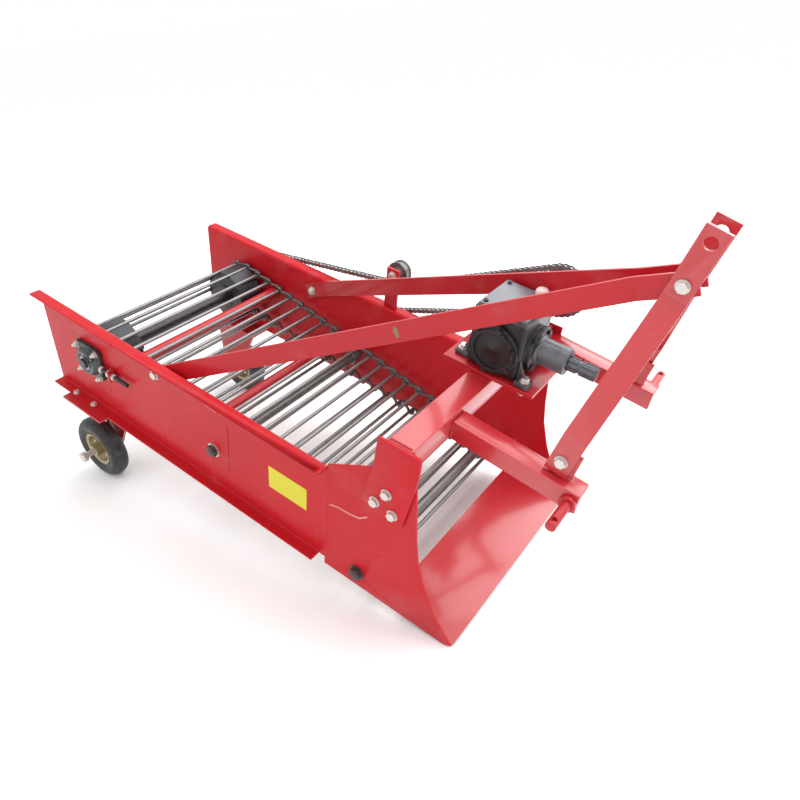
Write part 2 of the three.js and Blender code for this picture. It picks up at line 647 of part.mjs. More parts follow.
// ---- splined input stub ----
{
  const shape = new THREE.Shape();
  const [root, tip] = SPLINE_FLANK;
  const tooth = [[SPLINE_ROOT, -root], [SPLINE_RADIUS, -tip], [SPLINE_RADIUS, tip], [SPLINE_ROOT, root]];
  for (let i = 0; i < SPLINE_TEETH; i += 1) {
    for (const [radius, turn] of tooth) {
      const angle = ((i + turn) * 2 * Math.PI) / SPLINE_TEETH;
      const place = [radius * Math.cos(angle), radius * Math.sin(angle)];
      if (i === 0 && turn === -root) shape.moveTo(...place);
      else shape.lineTo(...place);
    }
  }
  shape.closePath();
  const stub = section(shape, INPUT_FRONT - SPLINE_DEPTH + TOUCH, INPUT_FRONT + SPLINE_REACH);
  add('pto_shaft', stub.translate(0, HITCH_Y, SHAFT_Z), metal(STEEL));
}

// ---- chain drive ----
const chainWheels = [
  { x: REAR_X, z: REAR_SHAFT_Z, r: DRIVEN_SPROCKET_RADIUS, turn: 1 },
  { x: GEARBOX_X, z: SHAFT_Z, r: DRIVE_SPROCKET_RADIUS, turn: 1 },
  { x: IDLER[0], z: IDLER[1], r: IDLER_RADIUS + CHAIN_DEPTH / 2 + CHAIN_CLEARANCE, turn: -1 },
];
const chainLoop = loopPieces(chainWheels);
{
  const shape = outline(loopOutline(chainLoop, CHAIN_DEPTH / 2));
  shape.holes.push(outline(loopOutline(chainLoop, -CHAIN_DEPTH / 2)));
  add('drive_chain', sidePlate(shape, CHAIN_Y - CHAIN_WIDTH / 2, CHAIN_Y + CHAIN_WIDTH / 2), metal(DARK));
}

const sprockets = [
  ['drive_sprocket', OUTPUT_CENTRE, DRIVE_SPROCKET_RADIUS, OUTPUT_SHAFT_RADIUS],
  ['driven_sprocket', REAR_SHAFT, DRIVEN_SPROCKET_RADIUS, JOURNAL_RADIUS],
];
for (const [name, centre, pitchRadius, bore] of sprockets) {
  const discRadius = pitchRadius - CHAIN_DEPTH / 2 - CHAIN_CLEARANCE;
  const disc = roundY(discRadius, centre, CHAIN_Y - SPROCKET_WIDTH / 2, CHAIN_Y + SPROCKET_WIDTH / 2, 48);
  const hub = roundY(HUB_RADIUS, centre, CHAIN_Y - HUB_REACH, CHAIN_Y + HUB_REACH);
  const hole = roundY(bore + TOUCH, centre, 0, CHANNEL);
  add(name, combine([disc, hub], [hole]), metal(STEEL));
}
{
  const [width, thickness] = IDLER_BRACKET;
  const near = HALF + IDLER_BRACKET_INSET;
  const bar = [
    [IDLER[0] - width / 2, TOUCH],
    [IDLER[0] + width / 2, TOUCH],
    [IDLER[0] + width / 2, IDLER[1] + width / 2],
    [IDLER[0] - width / 2, IDLER[1] + width / 2],
  ];
  const axleRadius = HEAD_BOLT_RADIUS;
  const hole = roundY(axleRadius + TOUCH, IDLER, 0, CHANNEL);
  add('idler_bracket', combine([sidePlate(bar, near, near + thickness)], [hole]), paint(RED));
  const [headRadius, headHeight] = BOLT_HEAD;
  const rollerStart = CHAIN_Y - IDLER_WIDTH / 2;
  const roller = roundY(IDLER_RADIUS, IDLER, rollerStart, rollerStart + IDLER_WIDTH, 32);
  const axle = roundY(axleRadius, IDLER, near - TOUCH - headHeight, rollerStart + IDLER_WIDTH + headHeight);
  const head = roundY(headRadius, IDLER, near - TOUCH - headHeight, near - TOUCH, 6);
  const collar = roundY(headRadius, IDLER, near + thickness + TOUCH, rollerStart);
  add('idler_roller', combine([roller, axle, head, collar]), metal(DARK));
}

// ---- rod conveyor: a closed web of rods, each hooked to the next at both ends ----
{
  const rodEnd = HALF - ROD_END_GAP;
  const hooks = outline(loopOutline(conveyorLoop, HOOK_HEIGHT / 2));
  hooks.holes.push(outline(loopOutline(conveyorLoop, -HOOK_HEIGHT / 2)));
  const parts = [
    sidePlate(hooks, rodEnd - HOOK_WIDTH, rodEnd),
    sidePlate(hooks, -rodEnd, HOOK_WIDTH - rodEnd),
  ];
  const rodReach = rodEnd - HOOK_WIDTH / 2;
  for (let i = 0; i < ROD_COUNT; i += 1) {
    const { x, z } = loopPoint(conveyorLoop, i * ROD_PITCH);
    parts.push(roundY(ROD_RADIUS, [x, z], -rodReach, rodReach, 6));
  }
  add('rod_conveyor', combine(parts), metal(STEEL));
}

// ---- rear drive shaft, its lobed drums and its bearings ----
{
  const tube = roundY(SHAFT_TUBE_RADIUS, REAR_SHAFT, -HALF + ROD_END_GAP, HALF - ROD_END_GAP, 24);
  const journal = roundY(JOURNAL_RADIUS, REAR_SHAFT, -JOURNAL_END, SHAFT_END, 24);
  add('rear_drive_shaft', combine([tube, journal]), metal(DARK));

  const grooveRadius = DRUM_PITCH_RADIUS - DRUM_GAP;
  const lobeRadius = DRUM_PITCH_RADIUS + LOBE_RISE;
  const halfGroove = ROD_RADIUS + GROOVE_CLEARANCE;
  const firstHeading = conveyorLoop[0].heading;
  const drumOutline = [];
  for (let i = 0; i < DRUM_LOBES; i += 1) {
    const heading = firstHeading + (i * 2 * Math.PI) / DRUM_LOBES;
    const outward = [Math.sin(heading), -Math.cos(heading)];
    const along = [Math.cos(heading), Math.sin(heading)];
    for (const [radius, shift] of [
      [lobeRadius, -halfGroove],
      [grooveRadius, -halfGroove],
      [grooveRadius, halfGroove],
      [lobeRadius, halfGroove],
    ]) {
      drumOutline.push([
        REAR_X + radius * outward[0] + shift * along[0],
        REAR_SHAFT_Z + radius * outward[1] + shift * along[1],
      ]);
    }
  }
  const drumFar = HALF - ROD_END_GAP - HOOK_WIDTH - DRUM_INSET;
  const bore = roundY(SHAFT_TUBE_RADIUS + TOUCH, REAR_SHAFT, -CHANNEL, CHANNEL);
  for (const [side, s] of SIDES) {
    const drum = plateSide(s, drumOutline, drumFar - DRUM_LENGTH, drumFar);
    add(`drive_drum_${side}`, combine([drum], [bore]), paint(RUBBER));

    const square = BEARING_SQUARE / 2;
    const near = OUTER + TOUCH;
    const far = near + BEARING_FLANGE;
    const low = Math.min(s * near, s * far);
    const high = Math.max(s * near, s * far);
    const flange = block(
      REAR_X - square, REAR_X + square, low, high, REAR_SHAFT_Z - square, REAR_SHAFT_Z + square,
    );
    const boss = roundSide(s, BEARING_BOSS[0], REAR_SHAFT, near, near + BEARING_BOSS[1], 28);
    const hole = roundY(JOURNAL_RADIUS + TOUCH, REAR_SHAFT, -CHANNEL, CHANNEL);
    add(`bearing_housing_${side}`, combine([flange, boss], [hole]), metal(CAST));

    const [lugLength, lugReach, lugHeight] = TENSION_LUG;
    const lugX = REAR_X + TENSION_LUG_X;
    const lugLow = Math.min(s * near, s * (near + lugReach));
    const lug = block(
      lugX, lugX + lugLength, lugLow, lugLow + lugReach,
      REAR_SHAFT_Z - lugHeight / 2, REAR_SHAFT_Z + lugHeight / 2,
    );
    const rodStart = REAR_X + square + TOUCH;
    const rodPlace = [s * (near + lugReach / 2), REAR_SHAFT_Z];
    const rod = roundX(TENSION_ROD_RADIUS, rodPlace, rodStart, rodStart + TENSION_ROD_LENGTH, 12);
    add(`tension_bolt_${side}`, combine([lug, rod]), metal(ZINC));
  }
}

// ---- rollers that carry the web, on axles bolted through the plates ----
const rollerWheelFar = HALF - ROD_END_GAP - HOOK_WIDTH - DRUM_INSET;
for (const [name, centre, wheelRadius] of [
  ['front_roller', FRONT_ROLLER, FRONT_ROLLER_PITCH_RADIUS - DRUM_GAP],
  ['mid_roller', MID_ROLLER, MID_ROLLER_RADIUS],
]) {
  const [nutRadius, nutHeight] = ROLLER_NUT;
  const nutStart = OUTER + TOUCH;
  const parts = [
    roundY(ROLLER_AXLE_RADIUS, centre, -nutStart - nutHeight, nutStart + nutHeight, 20),
    roundY(ROLLER_TUBE_RADIUS, centre, -rollerWheelFar, rollerWheelFar, 20),
  ];
  for (const s of [-1, 1]) {
    parts.push(roundSide(s, wheelRadius, centre, rollerWheelFar - ROLLER_WHEEL_WIDTH, rollerWheelFar, 28));
    parts.push(roundSide(s, nutRadius, centre, nutStart, nutStart + nutHeight, 6));
  }
  add(name, combine(parts), metal(DARK));
}

// ---- tubes that tie the two side plates together inside the web ----
CROSS_TUBES.forEach((centre, i) => {
  const reach = HALF - TOUCH;
  const tube = roundY(CROSS_TUBE_RADIUS, centre, -reach, reach);
  const bore = roundY(CROSS_TUBE_RADIUS - CROSS_TUBE_WALL, centre, -CHANNEL, CHANNEL);
  add(`cross_tube_${['rear', 'front'][i]}`, combine([tube], [bore]), paint(RED));
});

// ---- rear wheels on brackets bolted under the lower flanges ----
for (const [side, s] of SIDES) {
  const [plateLength, thickness] = WHEEL_BRACKET_PLATE;
  const top = -PLATE_HEIGHT - TOUCH;
  const [x, z] = WHEEL;
  const span = (near, far) => [Math.min(s * near, s * far), Math.max(s * near, s * far)];
  const rear = WHEEL_BRACKET_CENTRE - plateLength / 2;
  const front = WHEEL_BRACKET_CENTRE + plateLength / 2;
  const plate = block(rear, front, ...span(WHEEL_ARM_Y, WHEEL_BRACKET_REACH), top - thickness, top);
  const armOutline = [
    [rear, top - 1],
    [x - WHEEL_ARM_FOOT, z],
    [x - WHEEL_ARM_FOOT / 2, z - WHEEL_ARM_FOOT],
    [x + WHEEL_ARM_FOOT / 2, z - WHEEL_ARM_FOOT],
    [x + WHEEL_ARM_FOOT, z],
    [front, top - 1],
  ];
  const arm = plateSide(s, armOutline, WHEEL_ARM_Y, WHEEL_ARM_Y + WHEEL_ARM_THICKNESS);
  const armHole = roundY(AXLE_RADIUS + TOUCH, WHEEL, -CHANNEL, CHANNEL);
  add(`wheel_bracket_${side}`, combine([plate, arm], [armHole]), paint(RED));

  const axle = roundSide(s, AXLE_RADIUS, WHEEL, WHEEL_ARM_Y - AXLE_HEAD, AXLE_END, 20);
  const cap = roundSide(s, AXLE_CAP[0], WHEEL, AXLE_END - AXLE_CAP[1], AXLE_END, 20);
  const inner = roundSide(s, AXLE_CAP[0], WHEEL, WHEEL_ARM_Y - AXLE_HEAD, WHEEL_ARM_Y - TOUCH, 6);
  add(`wheel_axle_${side}`, combine([axle, cap, inner]), metal(ZINC));

  const lathe = (profile) => {
    const points = profile.map(([radius, y]) => new THREE.Vector2(radius, y));
    points.push(points[0].clone());
    return new THREE.LatheGeometry(points, 32).translate(x, s * WHEEL_Y, z);
  };
  const [hubRadius, hubLength] = HUB;
  const bore = AXLE_RADIUS + RUNNING;
  const rimHalf = RIM_WIDTH / 2;
  const disc = RIM_DISC / 2;
  const rimProfile = [
    [bore, -hubLength / 2],
    [hubRadius, -hubLength / 2],
    [hubRadius, -disc],
    [RIM_RADIUS - RIM_LIP, -disc],
    [RIM_RADIUS - RIM_LIP, -rimHalf],
    [RIM_RADIUS, -rimHalf],
    [RIM_RADIUS, rimHalf],
    [RIM_RADIUS - RIM_LIP, rimHalf],
    [RIM_RADIUS - RIM_LIP, disc],
    [hubRadius, disc],
    [hubRadius, hubLength / 2],
    [bore, hubLength / 2],
  ];
  add(`wheel_rim_${side}`, lathe(rimProfile), metal(GOLD));

  const tyreHalf = TYRE_WIDTH / 2;
  const bead = RIM_RADIUS + TOUCH;
  const sidewall = (TYRE_RADIUS + bead) / 2;
  const tyreProfile = [[bead, -BEAD_WIDTH / 2]];
  const steps = 8;
  for (let i = 0; i <= steps; i += 1) {
    const angle = -TYRE_ARC + (2 * TYRE_ARC * i) / steps;
    const reach = Math.cos(angle);
    tyreProfile.push([sidewall + (TYRE_RADIUS - sidewall) * reach, tyreHalf * Math.sin(angle)]);
  }
  tyreProfile.push([bead, BEAD_WIDTH / 2]);
  add(`tyre_${side}`, lathe(tyreProfile), paint(RUBBER));
}

// ---- stand the digger on its wheels and the cheeks' toes, with its origin under its middle ----
const toeAhead = CHEEK_TOE[0] - WHEEL[0];
const toeAbove = CHEEK_TOE[1] - WHEEL[1];
const tyreAngle = Math.asin(TYRE_RADIUS / Math.hypot(toeAhead, toeAbove));
chassis.rotation.y = tyreAngle + Math.atan2(toeAbove, toeAhead);
const digger = new THREE.Group();
digger.add(chassis);
digger.updateMatrixWorld(true);
const box = new THREE.Box3().setFromObject(digger, true);
chassis.position.set(-(box.min.x + box.max.x) / 2, -(box.min.y + box.max.y) / 2, -box.min.z);

export default digger;
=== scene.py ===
"""Looks of a potato digger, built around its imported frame.

Shapes are made in the chassis frame of the CAD part: millimetres, x forward from the rear end of the
side plates, y left from the middle of the crop channel, z up from the plates' top edge. CHASSIS then
pitches them nose down onto the floor, as the digger parks. A lathe profile is a list of (radius, along).
"""

import json
import random
from math import asin, atan2, copysign, cos, dist, hypot, pi, radians, sin

import bmesh
import bpy
from mathutils import Matrix, Vector


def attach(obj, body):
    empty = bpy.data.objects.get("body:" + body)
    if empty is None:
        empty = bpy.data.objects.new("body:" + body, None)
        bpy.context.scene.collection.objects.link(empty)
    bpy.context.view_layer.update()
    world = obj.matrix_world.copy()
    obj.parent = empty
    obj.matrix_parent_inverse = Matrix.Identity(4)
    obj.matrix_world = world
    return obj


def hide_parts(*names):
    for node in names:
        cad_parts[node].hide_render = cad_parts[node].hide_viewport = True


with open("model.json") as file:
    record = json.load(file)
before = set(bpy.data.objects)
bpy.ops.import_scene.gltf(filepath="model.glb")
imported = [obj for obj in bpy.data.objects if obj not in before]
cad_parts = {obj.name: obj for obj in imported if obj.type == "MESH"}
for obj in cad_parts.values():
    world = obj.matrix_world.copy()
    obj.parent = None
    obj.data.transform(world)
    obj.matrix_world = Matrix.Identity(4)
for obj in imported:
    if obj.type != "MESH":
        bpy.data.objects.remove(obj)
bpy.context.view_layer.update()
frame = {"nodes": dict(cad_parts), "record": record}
random.seed(11)

# ---- the chassis frame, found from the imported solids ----
DRIVE_AXIS = next(m["axis"] for m in frame["record"]["mounts"] if m["name"] == "pto_input")
PITCH = asin(-DRIVE_AXIS[2])
TILT = Matrix.Rotation(PITCH, 4, "Y")
MM = 0.001


def level_box(node, origin=Vector((0, 0, 0))):
    """Lowest and highest corner of a CAD node along the chassis axes, in millimetres from origin."""
    level = TILT.inverted()
    places = [(level @ v.co) / MM - origin for v in frame["nodes"][node].data.vertices]
    return [Vector([pick(p[i] for p in places) for i in range(3)]) for pick in (min, max)]


RIGHT, LEFT = level_box("side_plate_right"), level_box("side_plate_left")
ORIGIN = Vector((RIGHT[0].x, (RIGHT[0].y + LEFT[1].y) / 2, RIGHT[1].z))
CHASSIS = TILT @ Matrix.Translation(ORIGIN * MM) @ Matrix.Scale(MM, 4)


def spot(node):
    """Lowest and highest corner of a CAD node in the chassis frame."""
    return level_box(node, ORIGIN)


def centre(node):
    low, high = spot(node)
    return (low + high) / 2


def axis_of(node):
    """Where a cross shaft's middle line meets the machine's middle plane."""
    place = centre(node)
    return Vector((place.x, 0, place.z))


# ---- sizes ----
SIDES = (("right", -1), ("left", 1))
BOTH = (-1, 1)
CORNERS = [(u, v) for u in BOTH for v in BOTH]
QUARTERS = [radians(45 + 90 * k) for k in range(4)]
ACROSS = (0, 1, 0)
FORWARD = (1, 0, 0)
UP = (0, 0, 1)
CHANNEL_HALF = 310  # inside face of each side plate
SHEET = 5  # plate thickness
OUTER = CHANNEL_HALF + SHEET
BEND = 9  # outside radius of the plates' folded flanges
PLATE_HEIGHT = 318  # of the side plates
FLANGE_SETBACK = 18  # the lower flange stops short of the plate's front end by this
BAR = 8  # thickness of brackets, mast bars and braces
FIT = 0.3  # gap that touching pieces keep
ROD_RADIUS = 5.5
ROD_PITCH = 50
ROD_COUNT = 47
ROD_BEND = 9  # radius at which a rod's end turns forward
ROD_LINE_END = 297.5  # middle line of that turned end
HOOK_RADIUS = 4.6
HOOK_INSET = 15  # a hook closes this far inside the rod's end
DRUM_LOBES = 10
CHAIN_PITCH = 15.875
CHAIN_ROLLER = 5.1
DRIVEN_RADIUS = 108  # pitch radii of the chain's wheels
DRIVE_RADIUS = 64
IDLER_RADIUS = 38.5
TYRE_SEGMENTS = 96
CREASE_LENGTH = 25  # longer edges of a bent bar are kept crisp
HITCH_Y = 75  # middle of the mast and gearbox
BOX_HALF = (65, 68)  # gearbox housing, along and across
FOOT_SPREAD = {-1: 42, 1: 62}  # the gearbox's feet from its middle, behind and ahead of the shaft
MAST_FOOT = (1531, 176)  # x and z of the bolt at each foot
MAST_HEAD_HALF = 29
BRACE_REAR = (495, -52)  # and at each brace's rear end
BRACE_EDGE = Vector((538, -310, -3))  # the right brace bar's outer face: its top edge at the rear,
BRACE_RUN = Vector((964, 356, 498))  # along it to the mast,
BRACE_DOWN = Vector((22, 0, -42))  # and across it to its lower edge
BRACKET_BOLTS = ((1225, -8), (1253, 33), (1273, -17))
WHEEL_BRACKET_BOLTS = (101, 186)
WHEEL_BRACKET_BOLT_Y = 336
CAMERA_PLACE = Vector((1753.1, -1134.3, 1052.3))
CAMERA_TARGET = Vector((1070.17, -16.76, 0.11))
CAMERA_ROLL = radians(-5.9251)
CAMERA_LENS = 29.97
FLOOR_REACH = 60.0  # metres


class Nodes:
    """A short way to wire a material's nodes. Its slot argument is not used."""

    def __init__(self, name, slot=""):
        self.material = bpy.data.materials.new(name)
        self.material.use_nodes = True
        self.tree = self.material.node_tree
        self.shader = self.tree.nodes["Principled BSDF"]
        self.coords = self.tree.nodes.new("ShaderNodeTexCoord").outputs["Object"]

    def link(self, value, socket):
        """Feeds a socket from another socket, or sets it to a number, a vector or a colour."""
        if isinstance(value, bpy.types.NodeSocket):
            self.tree.links.new(value, socket)
        elif socket.type == "RGBA":
            socket.default_value = (*value, 1)
        else:
            socket.default_value = value

    def feed(self, node, **inputs):
        for key, value in inputs.items():
            self.link(value, node.inputs[key.replace("_", " ")])
        return node

    def node(self, kind, **inputs):
        return self.feed(self.tree.nodes.new(kind), **inputs)

    def stretched(self, scale):
        return self.node("ShaderNodeMapping", Vector=self.coords, Scale=scale).outputs["Vector"]

    def noise(self, scale, detail=4.0, vector=None):
        source = self.coords if vector is None else vector
        made = self.node("ShaderNodeTexNoise", Vector=source, Scale=scale, Detail=detail, Roughness=0.55)
        return made.outputs["Fac"]

    def ramp(self, value, low, high):
        """0 below low and 1 above high."""
        return self.node("ShaderNodeMapRange", Value=value, From_Min=low, From_Max=high).outputs["Result"]

    def mix(self, share, first, second):
        made = self.tree.nodes.new("ShaderNodeMix")
        made.data_type = "RGBA"
        return self.feed(made, Factor=share, A=first, B=second).outputs["Result"]

    def times(self, value, factor):
        made = self.tree.nodes.new("ShaderNodeMath")
        made.operation = "MULTIPLY"
        self.link(value, made.inputs[0])
        self.link(factor, made.inputs[1])
        return made.outputs[0]

    def bump(self, height, strength, distance):
        made = self.node("ShaderNodeBump", Height=height, Strength=strength, Distance=distance)
        self.link(made.outputs["Normal"], self.shader.inputs["Normal"])

    def finish(self, colour, roughness, metallic=0.0, coat=0.0, coat_roughness=0.1, specular=0.5):
        self.feed(
            self.shader, Base_Color=colour, Roughness=roughness, Metallic=metallic,
            Coat_Weight=coat, Coat_Roughness=coat_roughness, Specular_IOR_Level=specular,
        )
        return self.material


def red_enamel(name, deep=(0.38, 0.006, 0.011), bright=(0.52, 0.012, 0.02), **gloss):
    """Sprayed gloss enamel: slow colour drift, orange peel, dust in patches and a few dark specks."""
    m = Nodes(name, "red_paint")
    drift = m.noise(3.5, 3.0)
    dust = m.ramp(m.noise(11.0, 6.0), 0.56, 0.78)
    colour = m.mix(drift, deep, bright)
    colour = m.mix(m.times(dust, 0.16), colour, (0.44, 0.2, 0.17))
    specks = m.ramp(m.noise(170.0, 2.0), 0.73, 0.76)
    colour = m.mix(m.times(specks, 0.5), colour, (0.1, 0.02, 0.02))
    streaks = m.noise(60.0, 5.0, m.stretched((0.25, 1.0, 3.0)))
    peel = m.noise(420.0, 2.0)
    ripple = m.noise(7.0, 2.0)
    m.bump(m.mix(0.35, peel, ripple), 0.22, 0.0012)
    gloss = {"coat": 0.3, "specular": 0.3, **gloss}
    return m.finish(colour, m.ramp(streaks, -0.6, 2.4), **gloss)


def casting(name, slot, dark, light, metallic=0.25, rough=(0.1, 1.3), dust_share=0.3):
    """Painted sand casting: pitted grain, oily patches and dust."""
    m = Nodes(name, slot)
    patches = m.noise(26.0, 6.0)
    colour = m.mix(m.ramp(patches, 0.35, 0.7), dark, light)
    dust = m.ramp(m.noise(70.0), 0.6, 0.8)
    colour = m.mix(m.times(dust, dust_share), colour, (0.2, 0.19, 0.17))
    pits = m.node("ShaderNodeTexVoronoi", Vector=m.coords, Scale=130.0).outputs["Distance"]
    m.bump(m.mix(0.4, m.noise(260.0, 6.0), pits), 0.5, 0.0009)
    return m.finish(colour, m.ramp(patches, *rough), metallic)


def rolled_rod(name, slot):
    """Hot-rolled rod, rubbed bright along the run, with brown and black patches."""
    m = Nodes(name, slot)
    along = m.noise(90.0, 4.0, m.stretched((1.0, 0.06, 1.0)))
    patches = m.noise(14.0, 6.0)
    colour = m.mix(along, (0.14, 0.137, 0.137), (0.37, 0.362, 0.358))
    colour = m.mix(m.times(m.ramp(patches, 0.5, 0.72), 0.55), colour, (0.16, 0.13, 0.12))
    m.bump(m.noise(330.0), 0.25, 0.0006)
    return m.finish(colour, m.ramp(along, -0.35, 1.9), 0.75)


def plain_metal(name, slot, dark, light, metallic=0.85, rough=(-0.2, 1.8), scale=45.0):
    """A blotched, finely grained surface: bare, plated or painted steel."""
    m = Nodes(name, slot)
    blotch = m.noise(scale, 6.0)
    m.bump(m.noise(300.0), 0.25, 0.0006)
    return m.finish(m.mix(blotch, dark, light), m.ramp(blotch, *rough), metallic)


def rubber(name, slot, dark, light, dust_share=0.35, sheen=0.0):
    """Black rubber with a fine grain and dry dust."""
    m = Nodes(name, slot)
    blotch = m.noise(22.0, 6.0)
    colour = m.mix(blotch, dark, light)
    dust = m.ramp(m.noise(48.0, 5.0), 0.5, 0.8)
    colour = m.mix(m.times(dust, dust_share), colour, (0.13, 0.125, 0.115))
    m.bump(m.noise(520.0, 3.0), 0.35, 0.0008)
    return m.finish(colour, m.ramp(blotch, -0.5, 1.6), coat=sheen, coat_roughness=0.3, specular=0.4)


RED = red_enamel("red_enamel")
PLATE = red_enamel("plate_enamel", (0.41, 0.006, 0.011), (0.55, 0.013, 0.021), coat=0.08, specular=0.16)
# A glossier copy of the red enamel with a heavier coat; its lighter, pinker colours are a painted highlight
# of the sky on the parts that face it.
POLISHED_WITH_PAINTED_HIGHLIGHT = red_enamel(
    "polished_enamel_painted_highlight", (0.42, 0.012, 0.018), (0.54, 0.02, 0.03),
    coat=1.0, coat_roughness=0.16, specular=0.5,
)
WELD = red_enamel("painted_weld", (0.33, 0.006, 0.012), (0.5, 0.014, 0.022))
SCRAPE = plain_metal("scraped_paint", "red_paint", (0.6, 0.16, 0.16), (0.75, 0.3, 0.28), 0.0)
CAST = casting("dark_casting", "cast_iron", (0.011, 0.011, 0.012), (0.026, 0.026, 0.028), dust_share=0.12)
WORN_CAST = casting("worn_casting", "cast_iron", (0.03, 0.03, 0.032), (0.13, 0.13, 0.13), rough=(0.0, 1.2))
GREY_CAST = casting(
    "grey_casting", "cast_iron", (0.085, 0.092, 0.105), (0.15, 0.158, 0.175), rough=(0.0, 1.4),
)
BEARING = casting("bearing_casting", "bearing_iron", (0.035, 0.046, 0.046), (0.085, 0.1, 0.1), 0.35)
COVER = plain_metal(
    "cover_plate", "cover_steel", (0.15, 0.158, 0.172), (0.23, 0.24, 0.26), 0.1, (-0.3, 1.3),
)
ROD = rolled_rod("rolled_rod", "rod_steel")
HOOK = plain_metal("hook_steel", "rod_steel", (0.05, 0.05, 0.048), (0.17, 0.165, 0.16), 0.6)
DARK = plain_metal("oiled_steel", "dark_steel", (0.03, 0.03, 0.032), (0.1, 0.1, 0.105), 0.7)
STEEL = plain_metal("machined_steel", "shaft_steel", (0.17, 0.175, 0.18), (0.36, 0.37, 0.38))
ZINC = plain_metal("zinc_plate", "zinc", (0.5, 0.46, 0.42), (0.78, 0.75, 0.7), 0.7, scale=90.0)
GOLD = plain_metal("yellow_zinc", "gold_zinc", (0.2, 0.165, 0.085), (0.5, 0.41, 0.23), 0.6, scale=38.0)
# The drum rubber's faint blue tint is a painted reflection of a bluish sky; its coat gives it real gloss.
DRUM = rubber("drum_rubber", "drum_rubber", (0.014, 0.016, 0.021), (0.036, 0.04, 0.05), 0.12, 0.25)
NUT = plain_metal("black_nut", "dark_steel", (0.05, 0.042, 0.042), (0.12, 0.1, 0.1), 0.5)
ROLLER = plain_metal("roller_steel", "dark_steel", (0.1, 0.1, 0.1), (0.24, 0.235, 0.23), 0.6)
TYRE = rubber("tyre_rubber", "tyre_rubber", (0.014, 0.014, 0.015), (0.032, 0.032, 0.034))
PINK = plain_metal("faded_plug", "gold_zinc", (0.62, 0.42, 0.4), (0.75, 0.56, 0.54), 0.0)
SPLINE = plain_metal("spline_steel", "shaft_steel", (0.06, 0.066, 0.075), (0.14, 0.15, 0.165), 0.6)
CHAIN = plain_metal("chain_steel", "dark_steel", (0.12, 0.115, 0.11), (0.3, 0.285, 0.27), 0.7)
WORN_PATCH = plain_metal("worn_patch", "red_paint", (0.2, 0.11, 0.06), (0.3, 0.19, 0.11), 0.0)
YELLOW = plain_metal("yellow_film", "red_paint", (0.6, 0.55, 0.008), (0.66, 0.61, 0.012), 0.0)


# ---- shapes ----
def quad_band(here, there, count):
    """Faces between two rings of count points, the first of them numbered here and there."""
    return [[here + k, here + (k + 1) % count, there + (k + 1) % count, there + k] for k in range(count)]


def polar(radius, angle, u=0, v=0):
    """A point at radius and angle round (u, v)."""
    return u + radius * cos(angle), v + radius * sin(angle)


def band(inner, outer, start, stop):
    """A lathe profile with square corners."""
    return [(inner, start), (outer, start), (outer, stop), (inner, stop)]


def square_to(direction):
    """The turn that stands the z axis along a direction."""
    return Vector(UP).rotation_difference(Vector(direction))


class Shape:
    """Closed bodies gathered into one mesh, in chassis millimetres."""

    def __init__(self):
        self.verts = []
        self.faces = []

    def add(self, verts, faces):
        start = len(self.verts)
        self.verts.extend(tuple(v) for v in verts)
        self.faces.extend([start + i for i in face] for face in faces)
        return self

    def tube(self, rings):
        """A closed body through equal rings of points, capped at both ends."""
        count = len(rings[0])
        last = (len(rings) - 1) * count
        faces = [list(range(count))[::-1], list(range(last, last + count))]
        for i in range(len(rings) - 1):
            faces += quad_band(i * count, (i + 1) * count, count)
        return self.add([point for ring in rings for point in ring], faces)

    def prism(self, outline, low, high, axes="xz"):
        """An outline in two axes, given length along the third between low and high."""
        order = [axes.find(a) for a in "xyz"]
        return self.slab(*(
            [[depth if i < 0 else point[i] for i in order] for point in outline] for depth in (low, high)
        ))

    def slab(self, near, far):
        """Two matching outlines of points joined into a closed body."""
        count = len(near)
        faces = [list(range(count)), list(range(count, 2 * count))[::-1]]
        faces += [[i, count + i, count + (i + 1) % count, (i + 1) % count] for i in range(count)]
        return self.add(near + far, faces)

    def box(self, low, high):
        (x0, y0, z0), (x1, y1, z1) = low, high
        return self.prism([(x0, z0), (x1, z0), (x1, z1), (x0, z1)], y0, y1)

    def lathe(self, profile, place, direction=ACROSS, segments=48):
        """A closed profile turned about a line through place."""
        turn = square_to(direction)
        place = Vector(place)
        count = len(profile)
        verts, faces = [], []
        for k in range(segments):
            angle = 2 * pi * k / segments
            for radius, along in profile:
                verts.append(place + turn @ Vector((*polar(radius, angle), along)))
            faces += quad_band(k * count, (k + 1) % segments * count, count)
        return self.add(verts, faces)

    def disc(self, profile, place, direction=ACROSS, segments=48):
        """A turned body whose profile starts and ends on the axis, but for a pinhole."""
        rim = [(max(radius, 0.02), along) for radius, along in profile]
        return self.lathe(rim, place, direction, segments)

    def rod(self, radius, length, place, direction=ACROSS, segments=48):
        """A plain round bar."""
        return self.disc(band(0, radius, 0, length), place, direction, segments)

    def bar(self, path, radius, sides):
        """A round bar along a path of points."""
        path = [Vector(p) for p in path]
        side = (path[1] - path[0]).normalized().orthogonal().normalized()
        rings = []
        for i, point in enumerate(path):
            before = path[max(i - 1, 0)]
            after = path[min(i + 1, len(path) - 1)]
            tangent = (after - before).normalized()
            side = (side - tangent * side.dot(tangent)).normalized()
            rings.append(ring_of(point, side, tangent.cross(side), radius, sides))
        return self.tube(rings)


def ring_of(point, side, other, radius, sides):
    angles = [2 * pi * k / sides for k in range(sides)]
    return [point + (side * cos(a) + other * sin(a)) * radius for a in angles]


def piece(name, shape, material, body="chassis", replaces="", bevel=0.0, segments=2, smooth=30):
    """Places a shape as a piece that rides on a body. bevel is in millimetres, smooth in degrees."""
    mesh = bpy.data.meshes.new(name)
    mesh.from_pydata([CHASSIS @ Vector(v) for v in shape.verts], [], shape.faces)
    finish_piece(mesh, material, replaces, bevel, segments, smooth, body)


def placed(name, data):
    made = bpy.data.objects.new(name, data)
    bpy.context.scene.collection.objects.link(made)
    return made


